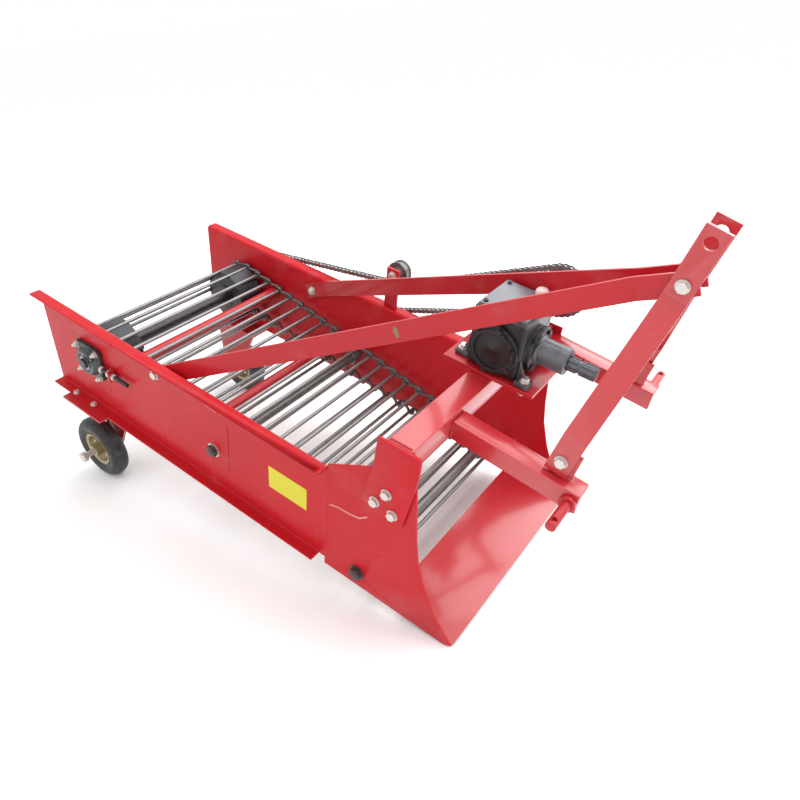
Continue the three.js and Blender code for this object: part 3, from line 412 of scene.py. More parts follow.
def finish_piece(mesh, material, replaces, bevel, segments, smooth=30, body="chassis"):
    tidy = bmesh.new()
    tidy.from_mesh(mesh)
    bmesh.ops.remove_doubles(tidy, verts=tidy.verts, dist=2e-6)
    bmesh.ops.recalc_face_normals(tidy, faces=tidy.faces)
    tidy.to_mesh(mesh)
    tidy.free()
    made = placed(mesh.name, mesh)
    mesh.materials.append(material)
    mesh.shade_smooth()
    if bevel:
        soft = made.modifiers.new("soft_edges", "BEVEL")
        soft.width = bevel * MM
        soft.segments = segments
        soft.limit_method = "ANGLE"
        soft.angle_limit = radians(smooth)
        soft.harden_normals = True
    else:
        mesh.set_sharp_from_angle(angle=radians(smooth))
    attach(made, body)
    if replaces:
        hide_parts(replaces)


def softened(node, material, bevel=1.2, segments=2, creased=False):
    """A copy of a chassis solid, its edges rounded. Creased keeps slight bends in a flat bar crisp."""
    solid = bmesh.new()
    solid.from_mesh(frame["nodes"][node].data)
    bmesh.ops.remove_doubles(solid, verts=solid.verts, dist=1e-5)
    bmesh.ops.dissolve_limit(solid, angle_limit=radians(0.6), verts=solid.verts, edges=solid.edges)
    if creased:
        for edge in solid.edges:
            bend = edge.calc_face_angle(0)
            if edge.calc_length() > CREASE_LENGTH * MM and bend > radians(2):
                edge.smooth = False
    mesh = bpy.data.meshes.new(node + "_form")
    solid.to_mesh(mesh)
    solid.free()
    finish_piece(mesh, material, node, bevel, segments)


# ---- fasteners and welds ----
def hex_head(shape, place, direction, radius, height, turn=0.0):
    """A hexagon head with a chamfered top, standing on place along direction."""
    swing = square_to(direction)
    place = Vector(place)
    spin = Matrix.Rotation(turn, 3, "Z")
    corners = [polar(1, radians(60 * k)) for k in range(6)]
    rings = []
    for size, along in ((radius, 0), (radius, height * 0.82), (radius * 0.87, height)):
        rings.append([place + swing @ (spin @ Vector((u * size, v * size, along))) for u, v in corners])
    shape.tube(rings)


def bolt(shape, place, direction, radius, height, washer=1.8, thread=0.0):
    """A bolt head on a washer of the given thickness, and a length of thread that stands out past it."""
    direction = Vector(direction)
    base = Vector(place)
    if washer:
        shape.rod(radius * 1.18, washer, base, direction, 28)
        base = base + direction * washer
    hex_head(shape, base, direction, radius, height, random.uniform(0, pi / 3))
    if thread:
        screw(shape, base, direction, radius * 0.52, height + thread)


def screw(shape, place, direction, radius, length, pitch=2.0):
    """A threaded bar, its thread as rings."""
    profile = [(0, 0)]
    turns = int(length / pitch)
    for i in range(turns):
        profile += [(radius * 0.88, i * pitch), (radius, (i + 0.5) * pitch)]
    profile += [(radius * 0.8, turns * pitch), (0, turns * pitch)]
    shape.disc(profile, place, direction, 16)


def weld_bead(shape, start, end, radius=3.2):
    """A row of overlapping drops of weld."""
    step = 4.2
    start, end = Vector(start), Vector(end)
    along = (end - start).normalized()
    side = along.orthogonal().normalized()
    count = max(2, int((end - start).length / step))
    rings = []
    for i in range(count + 1):
        point = start + (end - start) * (i / count)
        for shift, size in ((-0.3, 0.78), (0.15, 1.0)):
            grown = radius * size * random.uniform(0.88, 1.1)
            if (i == 0 and shift < 0) or (i == count and shift > 0):
                grown *= 0.4
            rings.append(ring_of(point + along * shift * step, side, along.cross(side), grown, 8))
    shape.tube(rings)


# ---- closed loops of web and chain ----
def loop_pieces(wheels):
    """Arcs and straight runs of a loop round (x, z, radius, turn) wheels, as the CAD part lays them."""
    runs = []
    for i, (ax, az, ar, at) in enumerate(wheels):
        bx, bz, br, bt = wheels[(i + 1) % len(wheels)]
        gap = hypot(bx - ax, bz - az)
        heading = atan2(bz - az, bx - ax) - asin((bt * br - at * ar) / gap)
        begin = (ax + at * ar * sin(heading), az - at * ar * cos(heading))
        stop = (bx + bt * br * sin(heading), bz - bt * br * cos(heading))
        runs.append((begin, stop, heading))
    pieces = []
    for i, (x, z, radius, turn) in enumerate(wheels):
        arriving = runs[i - 1][2]
        sweep = turn * (((runs[i][2] - arriving) * turn) % (2 * pi))
        pieces.append(("arc", (x, z, radius, turn), arriving, abs(sweep) * radius))
        begin, stop, heading = runs[i]
        pieces.append(("run", begin, heading, dist(begin, stop)))
    return pieces


def loop_length(pieces):
    return sum(p[3] for p in pieces)


def loop_point(pieces, rest):
    for kind, shape, heading, length in pieces:
        if rest <= length:
            break
        rest -= length
    if kind == "run":
        return Vector((shape[0] + rest * cos(heading), 0, shape[1] + rest * sin(heading)))
    x, z, radius, turn = shape
    heading += turn * rest / radius
    return Vector((x + turn * radius * sin(heading), 0, z - turn * radius * cos(heading)))


def spaced_points(pieces, count):
    """Points at equal steps round a loop."""
    length = loop_length(pieces)
    return [loop_point(pieces, length * i / count) for i in range(count)]


# ---- side plates, frame and seams ----
def folded(corners, thickness, bend):
    """The outline of a sheet folded at each inner corner, the bend's middle line at radius bend."""
    line = [Vector(corners[0])]
    for before, here, after in zip(corners, corners[1:], corners[2:]):
        before, here, after = Vector(before), Vector(here), Vector(after)
        into = (here - before).normalized()
        out = (after - here).normalized()
        middle = here - into * bend + out * bend
        for k in range(6):
            angle = pi / 2 * k / 5
            line.append(middle - out * bend * cos(angle) + into * bend * sin(angle))
    line.append(Vector(corners[-1]))
    left, right = [], []
    for i, point in enumerate(line):
        tangent = (line[min(i + 1, len(line) - 1)] - line[max(i - 1, 0)]).normalized()
        normal = Vector((-tangent.y, tangent.x)) * thickness / 2
        left.append(tuple(point + normal))
        right.append(tuple(point - normal))
    return left + right[::-1]


def side_plates():
    """Each plate is one folded sheet, whose lower flange stops short of its front end."""
    for name, s in SIDES:
        low, high = spot(f"side_plate_{name}")
        reach = max(abs(low.y), abs(high.y))
        web = CHANNEL_HALF + SHEET / 2
        top, bottom = high.z - SHEET / 2, low.z + SHEET / 2
        flange_end = high.x - FLANGE_SETBACK
        full = [(s * reach, top), (s * web, top), (s * web, bottom), (s * reach, bottom)]
        front = full[:2] + [(s * web, low.z)]
        plate = Shape()
        plate.prism(folded(full, SHEET, BEND - SHEET / 2), low.x, flange_end, "yz")
        plate.prism(folded(front, SHEET, BEND - SHEET / 2), flange_end, high.x, "yz")
        piece(f"pressed_side_{name}", plate, PLATE, replaces=f"side_plate_{name}", bevel=0.9, smooth=40)
        softened(f"front_cheek_{name}", PLATE, 0.8, creased=True)
        softened(f"beam_bracket_{name}", PLATE, 1.6)


def frame_parts():
    softened("share_blade", POLISHED_WITH_PAINTED_HIGHLIGHT)
    softened("cross_beam", POLISHED_WITH_PAINTED_HIGHLIGHT, 4.0, 3)
    softened("gearbox_base_plate", RED)
    softened("idler_bracket", RED, 1.4)
    for name, _ in SIDES:
        softened(f"hitch_arm_{name}", POLISHED_WITH_PAINTED_HIGHLIGHT, 3.0, 3)
        softened(f"lower_hitch_pin_{name}", RED)
        softened(f"mast_leg_{name}", POLISHED_WITH_PAINTED_HIGHLIGHT, 1.3, creased=True)
        softened(f"brace_bar_{name}", RED, 1.3, creased=True)
        softened(f"wheel_bracket_{name}", RED, 1.6, creased=True)
    wall = 3
    for name in ("cross_tube_rear", "cross_tube_front"):
        low, high = spot(name)
        radius = (high.z - low.z) / 2
        tube = Shape().lathe(band(radius - wall, radius, low.y, high.y), axis_of(name))
        piece(f"{name}_form", tube, RED, replaces=name, smooth=40)


def seams():
    """The ground joint between side plate and cheek, and weld beads where tubes and sheets meet."""
    joint = spot("front_cheek_right")[0].x
    ground = Shape()
    for s in BOTH:
        low, high = sorted((s * (CHANNEL_HALF - 0.2), s * (OUTER + 0.25)))
        ground.box((joint - 4, low, 6 - PLATE_HEIGHT), (joint + 4, high, -7))
    piece("ground_seams", ground, PLATE, smooth=40)
    bead = Shape()
    beam_low, beam_high = spot("cross_beam")
    for name, s in SIDES:
        inner = s * (CHANNEL_HALF - 1)
        weld_bead(bead, (beam_low.x + 4, inner, beam_high.z), (beam_high.x - 4, inner, beam_high.z), 3.4)
        weld_bead(bead, (beam_high.x, inner, beam_high.z - 4), (beam_high.x, inner, beam_low.z + 4), 3.4)
        arm_low, arm_high = spot(f"hitch_arm_{name}")
        face = arm_low.x + 1
        for y in (arm_low.y, arm_high.y):
            weld_bead(bead, (face, y, arm_low.z + 26), (face, y, arm_low.z + 68))
    piece("weld_beads", bead, WELD, smooth=60)
    crease = Shape()
    crease.bar([(760, -OUTER - 0.2, -78), (759, -OUTER - 0.4, -150), (754, -OUTER - 0.2, -236)], 1.5, 8)
    piece("stitch_weld", crease, WELD, smooth=60)


# ---- rod web ----
REAR_SHAFT = axis_of("rear_drive_shaft")


def hook_path(here, ahead, side):
    """A rod's end: it turns forward at the channel's edge and wraps the next rod."""
    along = (ahead - here).normalized()
    outward = Vector((along.z, 0, -along.x))
    end = side * ROD_LINE_END
    path = []
    for k in range(5):
        angle = pi / 2 * k / 4
        forward = along * ROD_BEND * (1 - cos(angle))
        path.append(here + forward + Vector((0, end - side * ROD_BEND * (1 - sin(angle)), 0)))
    wrap = ROD_RADIUS + HOOK_RADIUS + FIT
    creep = 0.35
    for k in range(10):
        angle = radians(170 - 24 * k)
        reach = ahead + along * wrap * cos(angle) + outward * wrap * sin(angle)
        path.append(reach + Vector((0, end - side * HOOK_INSET - side * creep * k, 0)))
    return path


def rod_web():
    """Rods with forged ends, each hooked round the next rod."""
    front = axis_of("front_roller")
    drum_radius = DRUM_LOBES * ROD_PITCH / (2 * pi)
    front_radius = spot("rod_conveyor")[1].x - ROD_RADIUS - front.x - 1
    loop = loop_pieces([(REAR_SHAFT.x, REAR_SHAFT.z, drum_radius, 1), (front.x, front.z, front_radius, 1)])
    places = spaced_points(loop, ROD_COUNT)
    rods, hooks = Shape(), Shape()
    straight_end = ROD_LINE_END - ROD_BEND
    for i, here in enumerate(places):
        ahead = places[(i + 1) % ROD_COUNT]
        along = (ahead - here).normalized()
        lift = Vector((along.z, 0, -along.x)) * random.uniform(-0.25, 0.25)
        for s in BOTH:
            hooks.bar(hook_path(here, ahead, s), HOOK_RADIUS + 0.4, 9)
        rods.bar([here + Vector((0, s * straight_end, 0)) + lift for s in BOTH], ROD_RADIUS, 14)
    piece("web_rods", rods, ROD, replaces="rod_conveyor", smooth=50)
    piece("web_hooks", hooks, HOOK, smooth=60)


# ---- rear shaft, drums, bearings and rollers ----
def rear_drive():
    low, high = spot("rear_drive_shaft")
    tube, journal, step, chamfer = 21, 15, CHANNEL_HALF - 7, 1.5
    shaft = Shape().disc(
        [(0, low.y), (journal - chamfer, low.y), (journal, low.y + chamfer), (journal, -step),
         (tube, -step), (tube, step), (journal, step), (journal, high.y - chamfer),
         (journal - chamfer, high.y), (0, high.y)],
        REAR_SHAFT,
    )
    piece("rear_shaft_form", shaft, DARK, replaces="rear_drive_shaft", smooth=40)
    for name, _ in SIDES:
        softened(f"drive_drum_{name}", DRUM, 2.6, 3)
        collars = Shape()
        for corner in spot(f"drive_drum_{name}"):
            y = corner.y
            collars.lathe(band(22, 34, y - 5, y + 5), REAR_SHAFT)
        piece(f"drum_collars_{name}", collars, DARK, bevel=0.8, smooth=40)


def rounded_square(middle, half, radius):
    outline = []
    for quarter in QUARTERS:
        x = middle.x + copysign(half - radius, cos(quarter))
        z = middle.z + copysign(half - radius, sin(quarter))
        outline += [polar(radius, quarter + radians(15 * k), x, z) for k in range(-3, 4)]
    return outline


def bearings():
    """Four-bolt flange bearings outside each plate."""
    for name, s in SIDES:
        low, high = spot(f"bearing_housing_{name}")
        near = low.y if s > 0 else high.y
        middle = centre(f"bearing_housing_{name}")
        half = (high.x - low.x) / 2
        flange = near + s * 12
        outward = (0, s, 0)
        form = Shape().prism(rounded_square(middle, half, 15), *sorted((near, flange)))
        piece(f"bearing_flange_{name}", form, BEARING,
              replaces=f"bearing_housing_{name}", bevel=2.2, segments=3, smooth=40)
        face = (middle.x, flange, middle.z)
        dome = [(27, 0), (46, 0), (43, 4), (39, 10), (37, 13), (29, 13), (27, 11)]
        boss = Shape().lathe(dome, face, outward)
        piece(f"bearing_boss_{name}", boss, BEARING)
        race = [(15.6, 0), (26.6, 0), (26.6, 9.5), (22.5, 10), (22.5, 14.5), (15.6, 14.5)]
        ring = Shape().lathe(race, face, outward)
        grease_nipple = [(0, 0), (3.4, 0), (3.4, 9), (2.2, 12), (0, 12)]
        ring.disc(grease_nipple, (middle.x + 34, flange + s * 6, middle.z + 24), (0.4, s, 0.5), 14)
        piece(f"bearing_race_{name}", ring, STEEL)
        screws = Shape()
        for u, v in CORNERS:
            x, z = middle.x + u * (half - 12.5), middle.z + v * (half - 12.5)
            bolt(screws, (x, flange, z), outward, 8.5, 7, thread=7)
            bolt(screws, (x, s * CHANNEL_HALF, z), (0, -s, 0), 8.5, 4, washer=0)
        piece(f"bearing_bolts_{name}", screws, ZINC, smooth=40)
        tension(name, s, middle)


def tension(name, s, middle):
    """The bolt that pulls the bearing back: a lug on the plate, a threaded bar and its nuts."""
    low, high = spot(f"tension_bolt_{name}")
    far = low.y if s < 0 else high.y
    y = (s * OUTER + far) / 2
    z = (low.z + high.z) / 2
    lug_x, lug_half = middle.x + 100, 17
    near_y, far_y = sorted((s * OUTER, far))
    lug = Shape().box((lug_x, near_y, z - lug_half), (lug_x + 8, far_y, z + lug_half))
    piece(f"tension_lug_{name}", lug, RED, bevel=1.4, replaces=f"tension_bolt_{name}", smooth=40)
    rod = Shape()
    screw(rod, (low.x, y, z), FORWARD, 6, high.x - low.x, 1.75)
    piece(f"tension_rod_{name}", rod, DARK)
    nuts = Shape()
    for start, length in ((lug_x - 12, 10), (lug_x + 9, 10), (low.x + 2, 8)):
        hex_head(nuts, (start, y, z), FORWARD, 10.5, length)
    piece(f"tension_nuts_{name}", nuts, ZINC)


def rollers():
    """A tube with a wheel at each end, on an axle whose nuts show outside the plates."""
    tube, axle, wheel_width, collar = 16, 10, 30, 9
    for node, wheel in (("front_roller", 26), ("mid_roller", 22)):
        low, high = spot(node)
        middle = axis_of(node)
        far = CHANNEL_HALF - 33
        inner = far - wheel_width
        bar = Shape().disc(band(0, tube, -far, far), middle)
        bar.disc([(0, low.y + 4), (axle - 1.5, low.y + 4), (axle, low.y + 6), (axle, high.y - 6),
                  (axle - 1.5, high.y - 4), (0, high.y - 4)], middle)
        for s in BOTH:
            bar.lathe([(tube, inner), (wheel - 2, inner), (wheel, inner + 2), (wheel, far - 2),
                       (wheel - 2, far), (tube, far)], middle, (0, s, 0))
            bar.lathe(band(tube, 19, far, far + collar), middle, (0, s, 0))
        piece(f"{node}_form", bar, ROLLER, replaces=node)
        nuts, washers = Shape(), Shape()
        washer = 2
        for s in BOTH:
            washers.rod(21, washer, (middle.x, s * OUTER, middle.z), (0, s, 0), 32)
            place = (middle.x, s * (OUTER + washer), middle.z)
            hex_head(nuts, place, (0, s, 0), 17, 13, 0.3)
            nuts.disc([(0, 0), (9.4, 0), (9.4, 13.5), (8.2, 15), (0, 15)], place, (0, s, 0), 24)
        piece(f"{node}_nuts", nuts, NUT)
        piece(f"{node}_washers", washers, NUT if node == "front_roller" else ZINC)


# ---- hitch and mast ----
def hitch_bolts():
    """The mast head's bolt and spacer, and the bolts of the mast bars' feet."""
    low, high = spot("mast_bolt")
    axis = axis_of("mast_bolt")
    shank = 8
    across = Shape().disc(band(0, shank, low.y + 6, high.y + 3), axis)
    half = MAST_HEAD_HALF - BAR - 3 * FIT
    across.lathe(band(shank + 0.4, 13, -half, half), (axis.x, HITCH_Y, axis.z))
    for s in BOTH:
        bolt(across, (axis.x, HITCH_Y + s * (MAST_HEAD_HALF + BAR), axis.z), (0, s, 0), 12, 9)
    piece("head_bolt", across, ZINC, replaces="mast_bolt")
    feet = Shape()
    x, z = MAST_FOOT
    for name, s in SIDES:
        face = centre(f"hitch_arm_{name}").y + s * BAR / 2
        bolt(feet, (x, face, z), (0, s, 0), 12, 9)
        bolt(feet, (x, face - s * (2 * BAR + 2 * FIT), z), (0, -s, 0), 12, 9, thread=5)
    piece("mast_foot_bolts", feet, ZINC)


def frame_bolts():
    """Bolts of the brace bars and the beam brackets, their nuts inside the plates."""
    zinc = Shape()
    rear_x, rear_z = BRACE_REAR
    for s in BOTH:
        bolt(zinc, (rear_x, s * OUTER, rear_z), (0, s, 0), 12, 8)
        bolt(zinc, (rear_x, s * (CHANNEL_HALF - BAR - FIT), rear_z), (0, -s, 0), 12, 9, thread=4)
        for x, z in BRACKET_BOLTS:
            bolt(zinc, (x, s * (OUTER + BAR + FIT), z), (0, s, 0), 11.5, 8.5)
            bolt(zinc, (x, s * CHANNEL_HALF, z), (0, -s, 0), 11.5, 9, thread=4)
    piece("frame_bolts", zinc, ZINC)


# ---- gearbox ----
def gearbox():
    x, y = centre("gearbox_base_plate").x, HITCH_Y
    body_low, body_high = spot("gearbox_housing")
    shaft_z = centre("output_shaft").z
    foot, top = body_low.z, body_high.z
    half_x, half_y = BOX_HALF
    hull = Shape().box((x - half_x, y - half_y, foot), (x + half_x, y + half_y, top))
    piece("gearbox_body", hull, CAST, replaces="gearbox_housing", bevel=11, segments=4)
    rim = Shape().box((x - half_x, y - half_y, top - 13), (x + half_x, y + half_y, top))
    pad = 14
    places = [(u, x + u * (half_x + 17), y + v * FOOT_SPREAD[u]) for u, v in CORNERS]
    for along, fx, fy in places:
        rim.box((fx - 18, fy - 15, foot), (fx + 18, fy + 15, foot + pad))
        rib = [(fx - along * 18, foot + pad), (fx + along * 6, foot + pad), (fx - along * 18, foot + 60)]
        rim.prism(rib, fy - 5, fy + 5)
    piece("gearbox_feet", rim, WORN_CAST, bevel=4, segments=3)
    cover = Shape().disc(
        [(0, -4), (60, -4), (60, 7), (58, 9), (52, 9), (50.5, 16), (44, 16), (42, 8), (14, 7), (11, 8),
         (0, 8)],
        (x, y - half_y, shaft_z), (0, -1, 0), 64,
    )
    cover.disc(band(0, 50, -4, 12), (x, y + half_y, shaft_z), ACROSS, 64)
    piece("gearbox_side_covers", cover, CAST, bevel=0.8)
    front = x + half_x
    flange = Shape().lathe(
        [(30, 15), (38, 13), (41, 12), (43, 12), (45, 14), (51, 14), (53.5, 12), (53.5, 2), (56, 0),
         (56, -6), (30, -6)],
        (front, y, shaft_z), FORWARD, 64,
    )
    piece("gearbox_input_flange", flange, CAST, bevel=0.6)
    spigot = Shape().lathe(
        [(17.9, 54), (17.9, 84), (28, 84), (31, 82), (31, 20), (35, 15), (36, 10), (10, 10), (10, 54)],
        (front, y, shaft_z), FORWARD, 64,
    )
    piece("gearbox_input_housing", spigot, GREY_CAST, bevel=0.6)
    gearbox_screws(x, y, shaft_z)
    feet = Shape()
    base_low = spot("gearbox_base_plate")[0].z
    for along, fx, fy in places:
        bolt(feet, (fx + along * 2, fy, foot + pad), UP, 10.5, 8)
        bolt(feet, (fx + along * 2, fy, base_low), (0, 0, -1), 10.5, 8, thread=4)
    piece("gearbox_foot_bolts", feet, ZINC)
    softened("gearbox_top_cover", COVER, 1.0)
    lid()
    output_tube()
    spline()


def gearbox_screws(x, y, shaft_z):
    """Screws of the right cover on their bosses, of the input flange and of the left cover."""
    screws = Shape()
    right_circle, front_circle, left_circle = 53.5, 45, 43
    right, boss = y - BOX_HALF[1] - 8.5, 4
    for k in range(6):
        px, pz = polar(right_circle, radians(20 + 60 * k), x, shaft_z)
        screws.rod(8, boss, (px, right, pz), (0, -1, 0), 24)
        bolt(screws, (px, right - boss, pz), (0, -1, 0), 5.6, 4, washer=0)
    front, left = x + BOX_HALF[0] + 12, y + BOX_HALF[1] + 12
    for angle in QUARTERS:
        bolt(screws, (front, *polar(front_circle, angle, y, shaft_z)), FORWARD, 7, 6, washer=0)
        px, pz = polar(left_circle, angle, x, shaft_z)
        bolt(screws, (px, left, pz), ACROSS, 5, 0.2, washer=0)
    piece("gearbox_screws", screws, CAST)


def lid():
    """Socket screws in the top cover's corners, and its breather plug."""
    low, high = spot("gearbox_top_cover")
    inset, socket = 11, 2.6
    head = [(socket, 0), (5.4, 0), (5.4, 4.5), (4.8, 5), (socket, 5)]
    corners = Shape()
    for x in (low.x + inset, high.x - inset):
        for y in (low.y + inset, high.y - inset):
            corners.lathe(head, (x, y, high.z), UP, 20)
            corners.rod(socket, 2, (x, y, high.z), UP, 20)
    piece("cover_screws", corners, DARK)
    knob = [(0, 0), (9, 0), (9, 8), (14, 10), (15, 14), (15, 20), (12, 25), (6, 27), (0, 27)]
    plug = Shape().disc(knob, (high.x - 22, high.y - 26, high.z), UP, 32)
    piece("breather_plug", plug, PINK, smooth=50)


def output_tube():
    low, high = spot("output_shaft_housing")
    axis = axis_of("output_shaft_housing")
    tube = Shape().lathe(
        [(15.4, low.y), (46, low.y), (46, low.y + 9), (33, low.y + 12), (30, low.y + 18), (30, high.y - 14),
         (36, high.y - 11), (36, high.y - 1), (34, high.y), (15.4, high.y)],
        axis, ACROSS, 56,
    )
    piece("output_tube", tube, CAST, replaces="output_shaft_housing")
    screws = Shape()
    for angle in QUARTERS:
        x, z = polar(39, angle, axis.x, axis.z)
        bolt(screws, (x, low.y + 10, z), ACROSS, 6, 5, washer=0)
    piece("output_tube_screws", screws, ZINC)
    low, high = spot("output_shaft")
    shaft = Shape().disc([(0, low.y), (15, low.y), (15, high.y - 2), (13, high.y), (0, high.y)], axis)
    piece("output_shaft_form", shaft, STEEL, replaces="output_shaft")


def spline():
    """The drive stub: six teeth with a locking groove, on a round core."""
    low, high = spot("pto_shaft")
    place = centre("pto_shaft")
    root, tip, teeth = 14.5, 17.4, 6
    tooth = ((root, -0.34), (tip - 0.5, -0.25), (tip, -0.21), (tip, 0.21), (tip - 0.5, 0.25), (root, 0.34))
    outline = []
    for i in range(teeth):
        for radius, turn in tooth:
            outline.append(polar(radius, (i + turn) * 2 * pi / teeth, place.y, place.z))
    groove, groove_width = high.x - 44, 7
    length = high.x - low.x
    shaft = Shape()
    shaft.prism(outline, low.x, groove, "yz")
    shaft.prism(outline, groove + groove_width, high.x - 2, "yz")
    core = [(0, 0), (root - 0.2, 0), (root - 0.2, length - 1), (root - 1.2, length), (0, length)]
    shaft.disc(core, (low.x, place.y, place.z), FORWARD)
    shaft.lathe(band(root - 4, root, 0, 0.4), (high.x - 0.6, place.y, place.z), FORWARD)
    piece("splined_shaft", shaft, SPLINE, replaces="pto_shaft")


# ---- chain drive ----
def chain_pins():
    """The chain's pins, an even number of them."""
    drive, idler_place = centre("drive_sprocket"), centre("idler_roller")
    loop = loop_pieces([
        (REAR_SHAFT.x, REAR_SHAFT.z, DRIVEN_RADIUS, 1),
        (drive.x, drive.z, DRIVE_RADIUS, 1),
        (idler_place.x, idler_place.z, IDLER_RADIUS, -1),
    ])
    return spaced_points(loop, 2 * round(loop_length(loop) / CHAIN_PITCH / 2))


def link_outline(here, ahead):
    """A waisted link plate between two pins."""
    heading = atan2(ahead.z - here.z, ahead.x - here.x)
    end, waist = 6.9, 4.6
    outline = []
    for point, start in ((ahead, -90), (here, 90)):
        for k in range(7):
            outline.append(polar(end, heading + radians(start + 30 * k), point.x, point.z))
    middle = (here + ahead) / 2
    dx, dz = -sin(heading) * waist, cos(heading) * waist
    outline.insert(7, (middle.x + dx, middle.z + dz))
    outline.append((middle.x - dx, middle.z - dz))
    return outline


def chain():
    """Link plates in turns nearer and further out, and a roller round each pin."""
    pins = chain_pins()
    y = centre("drive_chain").y
    plates, turning = Shape(), Shape()
    inner_face, outer_face, thickness = 4.9, 6.7, 1.6
    roller_half, pin, pin_half = 4.6, 2.6, 8.9
    for i, here in enumerate(pins):
        outline = link_outline(here, pins[(i + 1) % len(pins)])
        face = inner_face if i % 2 else outer_face
        for s in BOTH:
            plates.prism(outline, *sorted((y + s * face, y + s * (face + thickness))))
        for radius, half, sides in ((CHAIN_ROLLER, roller_half, 12), (pin, pin_half, 10)):
            turning.disc(band(0, radius, -half, half), (here.x, y, here.z), ACROSS, sides)
    piece("chain_plates", plates, CHAIN, replaces="drive_chain")
    piece("chain_rollers", turning, STEEL)


def toothed(middle, teeth, pitch_radius, phase):
    """A sprocket's outline: a seat for each pin and a flat-topped tooth between seats."""
    seat, tooth_height = 5.25, 4.2
    outline = []
    for i in range(teeth):
        angle = phase + 2 * pi * i / teeth
        for k in range(7):
            swing = radians(-75 + 25 * k)
            slide = seat * sin(swing) / pitch_radius
            outline.append((pitch_radius - seat * cos(swing), angle + slide))
        for share in (0.44, 0.56):
            outline.append((pitch_radius + tooth_height, angle + share * 2 * pi / teeth))
    return [polar(radius, angle, middle.x, middle.z) for radius, angle in outline]


def sprockets():
    """Toothed wheels that seat the chain's pins, on keyed hubs."""
    pins, half = chain_pins(), 3.6
    wheels = (("driven_sprocket", 43, DRIVEN_RADIUS), ("drive_sprocket", 25, DRIVE_RADIUS))
    for node, teeth, radius in wheels:
        middle = centre(node)
        low, high = spot(node)
        riding = [p for p in pins if abs(hypot(p.x - middle.x, p.z - middle.z) - radius) < 0.05]
        seated = riding[len(riding) // 2]
        phase = atan2(seated.z - middle.z, seated.x - middle.x)
        wheel = Shape().prism(toothed(middle, teeth, radius, phase), middle.y - half, middle.y + half)
        piece(f"{node}_form", wheel, DARK, replaces=node, bevel=0.6)
        hub = Shape().lathe(
            [(15.4, low.y), (25, low.y), (26, low.y + 1), (26, high.y - 1), (25, high.y), (15.4, high.y)],
            (middle.x, 0, middle.z),
        )
        key_low = (middle.x - 4, low.y + 1, middle.z + 14.2)
        hub.box(key_low, (middle.x + 4, high.y + 3, middle.z + 18.5))
        hub.rod(4.2, 5, (middle.x + 25, high.y - 7, middle.z), FORWARD, 16)
        piece(f"{node}_hub", hub, STEEL)


def idler():
    """A flanged roller on a pin through its bracket."""
    low, high = spot("idler_roller")
    middle = axis_of("idler_roller")
    back = high.y - 10
    face = back - 26
    bracket_face = low.y + 10 + FIT
    start = bracket_face + BAR + FIT
    roller = Shape().lathe(
        [(8.2, face), (16, face), (18, face + 3), (28, face + 3), (34, face), (34, face + 2),
         (30, face + 5), (30, back - 5), (34, back - 2), (34, back), (28, back - 3), (18, back - 5),
         (16, back), (8.2, back)],
        middle, ACROSS, 64,
    )
    piece("idler_wheel", roller, ROLLER, replaces="idler_roller")
    pin = Shape().disc(band(0, 8, low.y + 2, high.y + 1), middle)
    bolt(pin, (middle.x, bracket_face, middle.z), (0, -1, 0), 12, 8)
    bolt(pin, (middle.x, back, middle.z), ACROSS, 12, 8)
    pin.rod(12, face - start - FIT, (middle.x, start, middle.z))
    piece("idler_pin", pin, ZINC)


# ---- wheels ----
def tyre_shape(middle, half):
    """A round-shouldered tyre with shallow grooves round its crown and a rib on each sidewall."""
    sidewall, crown, steps = 82, 106, 24
    profile = [(58.2, -20), (61, -22)]
    for k in range(steps + 1):
        angle = radians(-122 + 244 * k / steps)
        groove = 1.1 if abs(angle) < radians(52) and k % 3 == 0 else 0.0
        profile.append((sidewall + (crown - sidewall) * cos(angle) - groove, half * sin(angle)))
    profile += [(61, 22), (58.2, 20)]
    tyre = Shape().lathe(profile, middle, ACROSS, TYRE_SEGMENTS)
    for s in BOTH:
        rib = [(74, s * 24.8), (76, s * 27.0), (78, s * 26.2), (77, s * 22.8)]
        tyre.lathe(rib, middle, ACROSS, TYRE_SEGMENTS)
    return tyre


def rim_shape(middle):
    """A pressed two-piece rim on a long hub."""
    half = [(20, 3), (34, 5), (42, 5), (46, 12), (48, 19), (52, 21), (57.8, 22), (57.8, 20.6), (53, 19),
            (52, 8)]
    profile = [(r, -a) for r, a in half] + [(50, 0)] + half[::-1]
    rim = Shape().lathe(profile, middle, ACROSS, 72)
    hub = [(10.5, -37), (18, -37), (20, -35), (20, 35), (18, 37), (10.5, 37)]
    return rim.lathe(hub, middle, ACROSS, 40)


